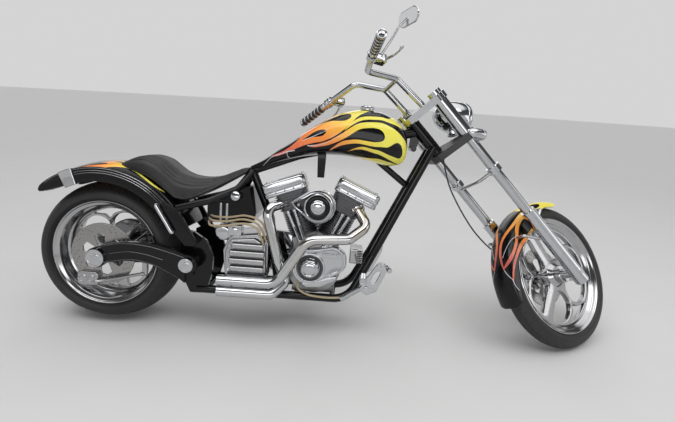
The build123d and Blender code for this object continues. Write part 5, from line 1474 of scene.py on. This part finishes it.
def fender_stays():
    """Two bent stays on each side, from the front fender's edge out to the fork leg."""
    stays = []
    for side in (1, -1):
        for angle, high in ((118.0, 300), (152.0, 230)):
            x, z = polar_point(335, angle)
            at = np.array([WHEELBASE + x, side * 60, FRONT_R + z])
            foot = fork_point(FORK_OFFSET - 20, side * (LEG_HALF - 14), high)
            bend = np.array([at[0], side * (LEG_HALF - 14), at[2]])
            route = [at, at + [0, side * 24, 0], (bend + at) / 2, bend, (bend + foot) / 2, foot]
            stays.append(tube(even_line(rounded_line(route, 6), 4), 7.0, 14))
    piece("front_fender_stays", joined(*stays), "steering", "chrome", sharp=50)


# Tyres and wheels

def tyre_shape(centre, bead_r, lip_r, lip_half, outer_r, half, shoulder_half, shoulder_r, turns, columns,
               groove):
    """A tyre as a closed ring: the crown is a round arc, the walls are arcs through the widest point.
    A groove's depth is taken off the radius where the slanted lines of the pattern run."""
    rise = outer_r - shoulder_r
    crown = (shoulder_half**2 + rise**2) / (2 * rise)
    y = np.linspace(0, shoulder_half * 0.93, 14)
    top = np.stack([y, outer_r - crown + np.sqrt(crown**2 - y**2)], 1)
    mid_r = (shoulder_r + lip_r) / 2
    wall = rounded_line([(shoulder_half * 0.985, shoulder_r + 1.5), (half - 5, (shoulder_r + mid_r) / 2 + 2),
                         (half, mid_r), (half - 3, (mid_r + lip_r) / 2), (lip_half - 4, lip_r + 0.5)], 4)
    seat = [(lip_half - 9.4, lip_r + 0.4), (lip_half - 9.4, bead_r + 0.4)]
    right = even_line(rounded_line(np.concatenate([top, wall]), 4), (2 * half) / columns)
    right = np.concatenate([right, seat])
    whole = np.concatenate([right[::-1] * [-1, 1], right[1:]])
    a = np.linspace(0, 2 * math.pi, turns, endpoint=False)[:, None]
    across, plain = np.abs(whole[:, 0])[None], whole[:, 1][None]
    arc = a * outer_r
    tread = (across < shoulder_half) & (plain > shoulder_r - 1)
    depth = np.zeros((turns, len(whole)))
    period = 2 * math.pi * outer_r / groove["count"]
    side = np.where(whole[:, 0] >= 0, 0.0, period / 2)[None]
    for shift, slope, near, far, wide in groove["lines"]:
        phase = (arc + slope * across + side + shift * period + period / 2) % period - period / 2
        ends = np.clip((across - near) / 4, 0, 1) * np.clip((far - across) / 4, 0, 1)
        depth = np.maximum(depth, np.clip((wide / 2 - np.abs(phase)) / 1.2 + 0.5, 0, 1) * ends)
    for at, wide in groove["rings"]:
        depth = np.maximum(depth, np.clip((wide / 2 - np.abs(across - at)) / 1.0 + 0.5, 0, 1))
    radius = plain - depth * tread * groove["depth"]
    for ring_r in (lip_r + 10, lip_r + 17, shoulder_r - 8):
        moulded = 0.9 * np.exp(-((plain - ring_r) / 1.3) ** 2)
        radius = radius + moulded * (across > shoulder_half * 0.9)
    points = np.stack([radius * np.cos(a) + centre[0], np.broadcast_to(whole[:, 0][None], radius.shape),
                       radius * np.sin(a) + centre[2]], 2)
    shape = points.reshape(-1, 3), grid_faces(turns, len(whole), wrap_rows=True, wrap_columns=True)
    return shape, np.where(tread, 1.0 - 0.8 * depth, 0.0).ravel()


def rim_profile(bead_r, lip_r, lip_half):
    """Closed section of a deep rim: rolled lip, bead seats and a polished barrel with a drop centre."""
    seat, well = lip_half - 9.0, bead_r - 20.0
    edge = [(lip_half - inward, lip_r - down)
            for inward, down in ((9, 0), (2, 0), (0, 1.6), (0, 4.5), (1.5, 6.5), (4, 8), (7, 11))]
    edge += [(lip_half - 10, bead_r - 3), (lip_half - 14, bead_r - 7), (seat * 0.62, bead_r - 9),
             (seat * 0.5, bead_r - 14), (seat * 0.42, well - 6), (seat * 0.36, well - 8)]
    outer = [(seat * 0.55, bead_r + 0.1), (seat * 0.4, well)]
    bead = (lip_half - 9, bead_r + 0.1)
    ring = [(-a, b) for a, b in outer[::-1]] + outer + [bead] + edge
    ring += [(-a, b) for a, b in edge[::-1]] + [(-bead[0], bead[1])]
    return np.array(ring + ring[:1])


WINDOW_LARGE = [(78, 34), (84, 22), (110, 15.5), (165, 11), (221, 8.5), (226, 14), (225, 24), (219, 33),
                (208, 40), (187, 48), (152, 56), (117, 56), (92, 50)]
WINDOW_SMALL = [(172, 60), (200, 52), (229, 39), (232.5, 42), (232.5, 60), (232.5, 78), (229, 81),
                (200, 68)]


# Radii that the windows' tables are drawn for: beyond the first they stretch with the rim
WINDOW_HUB = 90
WINDOW_RIM = 238.7


def spoke_outlines(inner_r, start):
    """The wheel disc's rim and its windows: three arms, a large window on both sides of each and a small
    one between the windows of neighbouring arms. The tables give radius and angle from the arm."""
    scale = (inner_r - WINDOW_HUB) / (WINDOW_RIM - WINDOW_HUB)
    lines = [disc_line(inner_r + 5, 120)]

    def polar(table, turn, flip):
        """A window's table as flat points, turned to its arm and mirrored by the sign of flip."""
        p = np.array([(min(r, WINDOW_HUB) + max(r - WINDOW_HUB, 0) * scale, turn + flip * a)
                      for r, a in table])
        a = np.radians(p[:, 1])
        return rounded_line(np.stack([p[:, 0] * np.cos(a), p[:, 0] * np.sin(a)], 1), 6, closed=True)

    for k in range(3):
        for flip in (-1, 1):
            lines.append(polar(WINDOW_LARGE, start + 120 * k, flip))
        lines.append(polar(WINDOW_SMALL, start + 120 * k, 1))
    return lines


def bolt_heads(table, high, sides=6, socket=False):
    """Bolt heads: rows of middle, axis and radius; hexagons with a chamfer, or round with a socket."""
    parts = []
    for origin, axis, radius in table:
        profile = [(-high, 0.001), (-high, radius), (high * 0.75, radius), (high, radius * 0.86)]
        if socket:
            profile += [(high, radius * 0.5), (high * 0.35, radius * 0.46), (high * 0.35, 0.001)]
        else:
            profile.append((high, 0.001))
        parts.append(lathe(profile, sides, axis, origin))
    return joined(*parts)


def wheel_shape(centre, bead_r, lip_r, lip_half, start, right, left):
    """Rim, spoke disc and stepped hub about the wheel's axle, and five bolts on each side of the disc."""
    rim = lathe(rim_profile(bead_r, lip_r, lip_half), 144, (0, 1, 0), centre)
    disc = place_on(plate_of(spoke_outlines(bead_r - 28.0, start), -13, 13, 3.0, 4), centre)
    hub = [(-right, 12.5), (-right, 38), (-right + 4, 42), (-30, 42), (-22, 50), (-15, 58), (-12, 60),
           (12, 60), (15, 58), (22, 50), (30, 42), (left - 4, 42), (left, 38), (left, 12.5)]
    table = []
    for side in (-1, 1):
        for k in range(5):
            x, z = polar_point(52.0, 72 * k + start + 36)
            table.append((np.array(centre) + [x, side * 14.5, z], (0, side, 0), 5.0))
    return joined(rim, disc, lathe(hub, 64, (0, 1, 0), centre)), bolt_heads(table, 3.0)


def rotor_shape(centre, y, start):
    """Brake disc: a ring with four rows of small holes, on a carrier with six windows."""
    lines = [disc_line(146, 120), disc_line(18, 32)]
    for turn in range(start, start + 360, 60):
        window = [(40, 8), (92, 14), (98, 30), (92, 46), (40, 52)]
        lines.append(rounded_polygon([polar_point(r, turn + a) for r, a in window], 9))
    for r, turn in ((112, 0), (122, 5), (132, 10), (139, 2)):
        lines += [disc_line(2.6, 8, *polar_point(r, 15 * k + turn + start)) for k in range(24)]
    return place_on(plate_of(lines, -3, 3, 0.5, 1), (centre[0], y, centre[2]))


# Grooves of the tread: how many times the pattern repeats, how deep it is, rings at a distance from the
# middle with a width, and slanted lines by shift, slope, nearest and farthest distance and width
REAR_GROOVES = {"count": 26, "depth": 5.0, "rings": [(0, 4.5)],
                "lines": [(0.0, 0.55, 12, 66, 5.0), (0.36, 0.9, 44, 98, 4.5), (0.66, 0.3, 78, 108, 3.5)]}
FRONT_GROOVES = {"count": 40, "depth": 4.0, "rings": [(0, 3.5), (16, 2.6)],
                 "lines": [(0.0, 0.8, 5, 30, 3.5), (0.5, 0.5, 24, 38, 3.0)]}
# Name and middle of each wheel; bead radius, lip radius and half width at the lip; the tyre's outer
# radius, half width, and half width and radius at the shoulder; its turns, columns and grooves; the
# spokes' turn and the hub's reach to the right and the left; the disc's side and turn
WHEELS = [
    ("rear", REAR_AXLE, (228.6, 246.0, 104.0), (328.3, 125.0, 112.0, 292.0), (468, 110, REAR_GROOVES),
     (40.0, 115.0, 128.0), (-118, 10)),
    ("front", FRONT_AXLE, (266.7, 284.0, 40.0), (347.3, 48.0, 40.0, 325.0), (560, 54, FRONT_GROOVES),
     (3.0, 63.0, 63.0), (66, 20)),
]


def wheel_pieces():
    """Both tyres, then both wheels with their bolts, then both brake discs."""
    for name, centre, rim, tyre, (turns, columns, grooves), _, _ in WHEELS:
        shape, tread = tyre_shape(centre, *rim, *tyre, turns // (1), columns, grooves)
        made = piece(name + "_tyre_tread", shape, name + "_wheel", "tyre_rubber", [name + "_tyre"],
                     sharp=None, weld=False)
        store(made, "tread", tread)
    for name, centre, rim, _, _, hub, _ in WHEELS:
        shape, bolts = wheel_shape(centre, *rim, *hub)
        piece(name + "_wheel_cut", shape, name + "_wheel", "polished_alloy", [name + "_wheel"], sharp=32)
        piece(name + "_wheel_bolts", bolts, name + "_wheel", "chrome", sharp=30)
    for name, centre, _, _, _, _, disc in WHEELS:
        piece(name + "_disc", rotor_shape(centre, *disc), name + "_wheel", "brake_steel", [name + "_rotor"],
              sharp=30)


# Seat

SEAT_TABLE = np.array([
    # x, top, low edge of the side, half width
    (62, 752, 738, 84), (75, 760, 730, 98), (110, 775, 722, 113), (150, 787, 712, 122),
    (182, 791, 702, 128), (240, 776, 672, 134), (290, 742, 636, 137), (330, 716, 607, 138),
    (375, 702, 603, 138), (420, 697, 620, 134), (470, 701, 645, 124), (520, 714, 675, 108),
    (570, 736, 705, 88), (615, 756, 732, 70), (640, 766, 750, 60),
], float)


def seat_form():
    """Closed seat: each section is a superellipse from the crown's middle round the side to the flat base.
    y = half * |cos t|^0.62, z = middle + rise * |sin t|^0.75 above and 0.45 below the middle."""
    rows, columns = 110, 72
    bell = 0.5 - 0.5 * np.cos(np.linspace(0.02, math.pi - 0.02, rows))
    x = SEAT_TABLE[0, 0] + (SEAT_TABLE[-1, 0] - SEAT_TABLE[0, 0]) * bell
    top, low, half = (smooth_table(SEAT_TABLE[:, 0], SEAT_TABLE[:, k], x) for k in (1, 2, 3))
    t = np.linspace(0, 2 * math.pi, columns, endpoint=False)
    c, s = np.cos(t), np.sin(t)
    mid = low + (top - low) * 0.22
    up = np.where(s > 0, (top - mid)[:, None] * np.abs(s) ** 0.75, -(mid - low)[:, None] * np.abs(s) ** 0.45)
    y = half[:, None] * np.sign(c) * np.abs(c) ** 0.62
    points = np.stack([np.broadcast_to(x[:, None], y.shape), y, mid[:, None] + up], 2).reshape(-1, 3)
    return points, closed_faces(rows, columns)


# The seat's cloth run: size of its even mesh in metres, farthest move in millimetres, pressure, frames
SEAT_VOXEL = 0.005
SEAT_SWELL = 7.0
SEAT_PRESSURE = 4.0
SEAT_FRAMES = 20


def puffed(points, faces, held):
    """A form blown up as stuffed leather: remeshed evenly, then a short cloth run under inner pressure
    with the points that held() names kept still, and no point moved by more than the swell."""
    obj = added("seat_blank", mesh_of("seat_blank", np.asarray(points) * MM, faces))
    bpy.context.view_layer.objects.active = obj
    obj.select_set(True)
    obj.data.remesh_voxel_size = SEAT_VOXEL
    bpy.ops.object.voxel_remesh()
    before = np.array([v.co[:] for v in obj.data.vertices])
    group = obj.vertex_groups.new(name="held")
    group.add([int(i) for i in np.nonzero(held(before / MM))[0]], 1.0, "REPLACE")
    cloth = obj.modifiers.new("cloth", "CLOTH")
    cloth.settings.use_pressure = True
    cloth.settings.uniform_pressure_force = SEAT_PRESSURE
    cloth.settings.effector_weights.gravity = 0.0
    cloth.settings.vertex_group_mass = "held"
    scene = bpy.context.scene
    for number in range(1, SEAT_FRAMES + 1):
        scene.frame_set(number)
    seen = obj.evaluated_get(bpy.context.evaluated_depsgraph_get()).data
    move = np.array([v.co[:] for v in seen.vertices]) - before
    size = np.linalg.norm(move, axis=1)
    before = before + move * np.minimum(1, SEAT_SWELL * MM / np.maximum(size, 1e-9))[:, None]
    obj.modifiers.clear()
    scene.frame_set(1)
    made = [tuple(p.vertices) for p in obj.data.polygons]
    bpy.data.objects.remove(obj)
    return before / MM, made


def under_seat(points):
    """Which points lie at the seat's base, up to 6 mm over the low edge of its side."""
    return points[:, 2] < smooth_table(SEAT_TABLE[:, 0], SEAT_TABLE[:, 2], points[:, 0]) + 6


def channels(points, faces):
    """Sewn lines along the seat: shallow grooves at fixed shares of the half width with soft crests
    between them, and one round its side; returns moved points and how deep each lies in a seam."""
    x, y, z = points.T
    top, low, half = (smooth_table(SEAT_TABLE[:, 0], SEAT_TABLE[:, k], x) for k in (1, 2, 3))
    share = np.abs(y) / half
    inner = np.clip((x - 96) / 30, 0, 1) * np.clip((628 - x) / 30, 0, 1)
    upper = np.clip(((z - low) / (top - low) - 0.30) / 0.1, 0, 1)

    def lines(shares, wide):
        """1 on lines at shares of the half width, falling off as a bell of that width."""
        return np.max([np.exp(-((share - at) * half / wide) ** 2) for at in shares], axis=0)

    side = np.exp(-((z - low - 17) / 2.4) ** 2) * (share > 0.72) * inner
    seam = np.maximum(lines((0.36, 0.52, 0.67, 0.80), 3.0) * (inner * upper), side)
    crest = lines((0.44, 0.595, 0.735), 7.0)
    mesh = bpy.data.meshes.new("seat_normals")
    mesh.from_pydata(points.tolist(), [], faces)
    normal = np.array([v.normal[:] for v in mesh.vertices])
    bpy.data.meshes.remove(mesh)
    return points + normal * (1.6 * crest * inner * upper - 3.2 * seam)[:, None], seam


# Property groups

class StageSettings(bpy.types.PropertyGroup):
    """Floor, light and camera."""

    floor_radius: bpy.props.FloatProperty(name="Floor radius", description="Radius of the round floor",
                                          default=60.0, min=5.0, subtype="DISTANCE")
    floor_colour: bpy.props.FloatVectorProperty(name="Floor colour", description="Colour of the floor",
                                                default=(0.62, 0.62, 0.62), subtype="COLOR", min=0, max=1)
    lens: bpy.props.FloatProperty(name="Lens", description="Focal length of the camera", default=22.413,
                                  unit="CAMERA")
    key_power: bpy.props.FloatProperty(name="Key light", description="Power of the large overhead light",
                                       default=18.0, unit="POWER")


class PaintSettings(bpy.types.PropertyGroup):
    """Grid steps of the painted skins."""

    skin_step: bpy.props.FloatProperty(name="Skin step", default=0.0035, min=0.001, subtype="DISTANCE",
                                       description="Distance between points of the painted skins")


class BuildOperator:
    """What every piece's operator shares."""

    bl_options = {"REGISTER", "UNDO"}


class MOTO_OT_stage(BuildOperator, bpy.types.Operator):
    """Make the floor, the lights, the world and the camera"""

    bl_idname = "moto.stage"
    bl_label = "Stage"

    def execute(self, context):
        settings = context.scene.moto_stage
        floor_disc(settings.floor_radius, settings.floor_colour)
        world_light()
        soft_lights(settings.key_power)
        camera(settings.lens)
        context.scene.view_settings.view_transform = "Standard"
        return {"FINISHED"}


# Height of the floor in metres, just under the tyres
FLOOR_HEIGHT = -0.0002
# Level of the sky by the height of the direction
SKY_LEVELS = [(0.0, 0.66), (0.29, 0.66), (0.38, 0.12), (0.66, 0.07), (0.76, 1.3), (1.0, 1.6)]
LAMPS = [
    # name, place, aim, width, height, power share
    ("overhead_left", (-1.2, -1.6, 3.4), (0.0, 0.0, 0.5), 2.6, 1.0, 1.0),
    ("overhead_right", (1.6, -1.4, 3.4), (0.2, 0.0, 0.5), 2.6, 1.0, 1.0),
    ("front_fill", (0.0, -4.8, 1.7), (0.0, 0.0, 0.5), 4.2, 1.3, 1.7),
    ("back_fill", (0.0, 4.5, 2.4), (0.0, 0.0, 0.5), 4.0, 1.6, 0.9),
    ("front_side", (4.4, -0.8, 1.8), (0.0, 0.0, 0.5), 1.6, 1.6, 0.5),
]
# The camera's place from the rear axle in metres, and its turns in radians
CAMERA_PLACE = [1.0727, -1.9048, 0.7701]
CAMERA_YAW, CAMERA_PITCH, CAMERA_ROLL = 0.0067871, 0.2643922, 0.0623015


def floor_disc(radius, colour):
    """Flat rings from the middle outwards: point = r * (cos a, sin a, 0)."""
    radii = np.array([0.02, 2, 4, 8, 16, radius])
    a = np.linspace(0, 2 * math.pi, 64, endpoint=False)
    flat = np.full((len(radii), 64), FLOOR_HEIGHT)
    points = np.stack([np.outer(radii, np.cos(a)), np.outer(radii, np.sin(a)), flat], 2)
    mesh = bpy.data.meshes.new("floor")
    faces = grid_faces(len(radii), 64, wrap_columns=True) + [tuple(range(64))]
    mesh.from_pydata(points.reshape(-1, 3).tolist(), [], faces)
    floor = added("floor", mesh)
    s = Shader(bpy.data.materials.new("floor_surface"))
    base = s.mix(s.noise(3.0, 4.0), toned(colour, 0.97), toned(colour, 1.03))
    mesh.materials.append(s.surface(Base_Color=base, Roughness=0.6, Specular_IOR_Level=0.3))


def world_light():
    """A pale band from the horizon up, a darker one over it and a bright ceiling, so that plated parts
    show contrast: the level is a ramp of the direction's height."""
    world = bpy.data.worlds.new("studio")
    bpy.context.scene.world = world
    s = Shader(world)
    height = s.node("ShaderNodeSeparateXYZ", {}, {0: s.node("ShaderNodeTexCoord")[0]})[2]
    light = s.ramp(height, [(at, (level, level, level)) for at, level in SKY_LEVELS])
    shade = s.node("ShaderNodeBackground", {}, {"Color": light, "Strength": 1.0})[0]
    s.node("ShaderNodeOutputWorld", {}, {"Surface": shade})


def soft_lights(power):
    """Large soft lights over and beside the machine, aimed at its middle."""
    for name, place, aim, width, height, share in LAMPS:
        lamp = bpy.data.lights.new(name, "AREA")
        lamp.shape = "RECTANGLE"
        lamp.size, lamp.size_y = width, height
        lamp.energy = power * share
        back = unit(np.array(place) - np.array(aim))
        side = unit(np.cross([0, 0, 1.0], back))
        added(name, lamp).matrix_world = Matrix(frame_of(side, np.cross(back, side), back, place).tolist())


def camera(lens):
    """The camera: its place from the rear axle, then yaw and pitch of its heading and roll about it."""
    place = np.array(JOINTS["rear_wheel_spin"]["pos_m"]) + CAMERA_PLACE
    heading = np.array(Matrix.Rotation(CAMERA_YAW, 3, "Z")) @ np.array(Matrix.Rotation(-CAMERA_PITCH, 3, "X"))
    right, ahead, up = heading.T
    c, s = math.cos(CAMERA_ROLL), math.sin(CAMERA_ROLL)
    data = bpy.data.cameras.new("camera")
    data.lens, data.sensor_width, data.sensor_fit = lens, 36.0, "HORIZONTAL"
    data.clip_end = 200.0
    obj = added("camera", data)
    obj.matrix_world = Matrix(frame_of(c * right + s * up, -s * right + c * up, -ahead, place).tolist())
    bpy.context.scene.camera = obj


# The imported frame's meshes: points within this many metres are joined, and folds beyond this stay hard
FRAME_WELD = 0.00002
FRAME_FOLD = math.radians(32)


class MOTO_OT_frame_finish(BuildOperator, bpy.types.Operator):
    """Give every piece of the frame its finish"""

    bl_idname = "moto.frame_finish"
    bl_label = "Frame finishes"

    def execute(self, context):
        slots = {part["node"]: part["material_slot"] for part in frame["record"]["subparts"]}
        for name, obj in frame["nodes"].items():
            obj.data.materials.clear()
            obj.data.materials.append(finishes()[slots.get(name, "gloss_black")])
            obj.data.shade_smooth()
            obj.modifiers.new("weld", "WELD").merge_threshold = FRAME_WELD
            obj.modifiers.new("edges", "EDGE_SPLIT").split_angle = FRAME_FOLD
        return {"FINISHED"}


class MOTO_OT_tank(BuildOperator, bpy.types.Operator):
    """Make the painted fuel tank"""

    bl_idname = "moto.tank"
    bl_label = "Fuel tank"

    def execute(self, context):
        grid, girth = tank_surface(context.scene.moto_paint.skin_step / MM)
        x = grid[:, :, 0]
        flame_piece("tank_skin", grid, np.stack([x, girth], 2), tank_colours(x, girth), TANK_FLAMES,
                    TANK_STRIPES, "frame", "fuel_tank")
        return {"FINISHED"}


class MOTO_OT_fenders(BuildOperator, bpy.types.Operator):
    """Make both painted fenders and the front one's stays"""

    bl_idname = "moto.fenders"
    bl_label = "Fenders"

    def execute(self, context):
        step = context.scene.moto_paint.skin_step / MM
        fender_skin("rear_fender_skin", REAR_AXLE, (427.8, 398.3, 131.0), 3.5,
                    (REAR_REACH, REAR_DROP, REAR_WARM), FLAME_REAR, STRIPES_REAR, "frame",
                    "rear_fender", step)
        fender_skin("front_fender_skin", FRONT_AXLE, (373.8, 351.8, 61.8), 2.5,
                    (FRONT_REACH, FRONT_DROP, FRONT_WARM), FLAME_FRONT, STRIPES_FRONT, "steering",
                    "front_fender", step * 0.9)
        fender_stays()
        return {"FINISHED"}


class MOTO_OT_wheels(BuildOperator, bpy.types.Operator):
    """Make tyres, wheels and brake discs"""

    bl_idname = "moto.wheels"
    bl_label = "Wheels"

    def execute(self, context):
        wheel_pieces()
        return {"FINISHED"}


class MOTO_OT_seat(BuildOperator, bpy.types.Operator):
    """Make the stuffed leather seat with its sewn channels"""

    bl_idname = "moto.seat"
    bl_label = "Seat"

    def execute(self, context):
        points, faces = seat_form()
        middle = points.mean(0)
        smaller = middle + (points - middle) * [0.985, 0.95, 1.0] - [0, 0, 2]
        points, faces = puffed(smaller, faces, under_seat)
        points, seam = channels(points, faces)
        seat = piece("seat_cover", (points, faces), "frame", "seat_leather", ["seat"], sharp=None, weld=False)
        store(seat, "seam", seam)
        sub = seat.modifiers.new("smooth", "SUBSURF")
        sub.levels = sub.render_levels = 1
        return {"FINISHED"}


class MOTO_OT_engine(BuildOperator, bpy.types.Operator):
    """Make the engine, its pipes, the gearbox and the hoses"""

    bl_idname = "moto.engine"
    bl_label = "Engine"

    def execute(self, context):
        engine_pieces()
        return {"FINISHED"}


class MOTO_OT_trim(BuildOperator, bpy.types.Operator):
    """Make lamps, controls, brakes and trim"""

    bl_idname = "moto.trim"
    bl_label = "Lamps, controls and trim"

    def execute(self, context):
        front_trim()
        frame_trim()
        front_caliper()
        return {"FINISHED"}


class MOTO_PT_panel(bpy.types.Panel):
    """The machine's pieces"""

    bl_label = "Motorcycle"
    bl_idname = "MOTO_PT_panel"
    bl_space_type = "VIEW_3D"
    bl_region_type = "UI"
    bl_category = "Motorcycle"

    def draw(self, context):
        layout = self.layout
        for operator in OPERATORS:
            layout.operator(operator.bl_idname, text=operator.bl_label)
        for settings in (context.scene.moto_stage, context.scene.moto_paint):
            for key in settings.__annotations__:
                layout.prop(settings, key)


OPERATORS = [MOTO_OT_stage, MOTO_OT_frame_finish, MOTO_OT_tank, MOTO_OT_fenders, MOTO_OT_wheels, MOTO_OT_seat,
             MOTO_OT_engine, MOTO_OT_trim]
GROUPS = {"moto_stage": StageSettings, "moto_paint": PaintSettings}


def register():
    """Register the settings, operators and panel, and hang the settings on the scene."""
    for group in GROUPS.values():
        bpy.utils.register_class(group)
    for operator in [*OPERATORS, MOTO_PT_panel]:
        bpy.utils.register_class(operator)
    for name, group in GROUPS.items():
        setattr(bpy.types.Scene, name, bpy.props.PointerProperty(type=group))


def unregister():
    """Take all of it away again, in reverse."""
    for name in GROUPS:
        delattr(bpy.types.Scene, name)
    for operator in reversed([*OPERATORS, MOTO_PT_panel]):
        bpy.utils.unregister_class(operator)
    for group in GROUPS.values():
        bpy.utils.unregister_class(group)


def main():
    """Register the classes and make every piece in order."""
    register()
    for operator in OPERATORS:
        group, name = operator.bl_idname.split(".")
        getattr(getattr(bpy.ops, group), name)()
    bpy.context.view_layer.update()


if __name__ == "__main__":
    main()
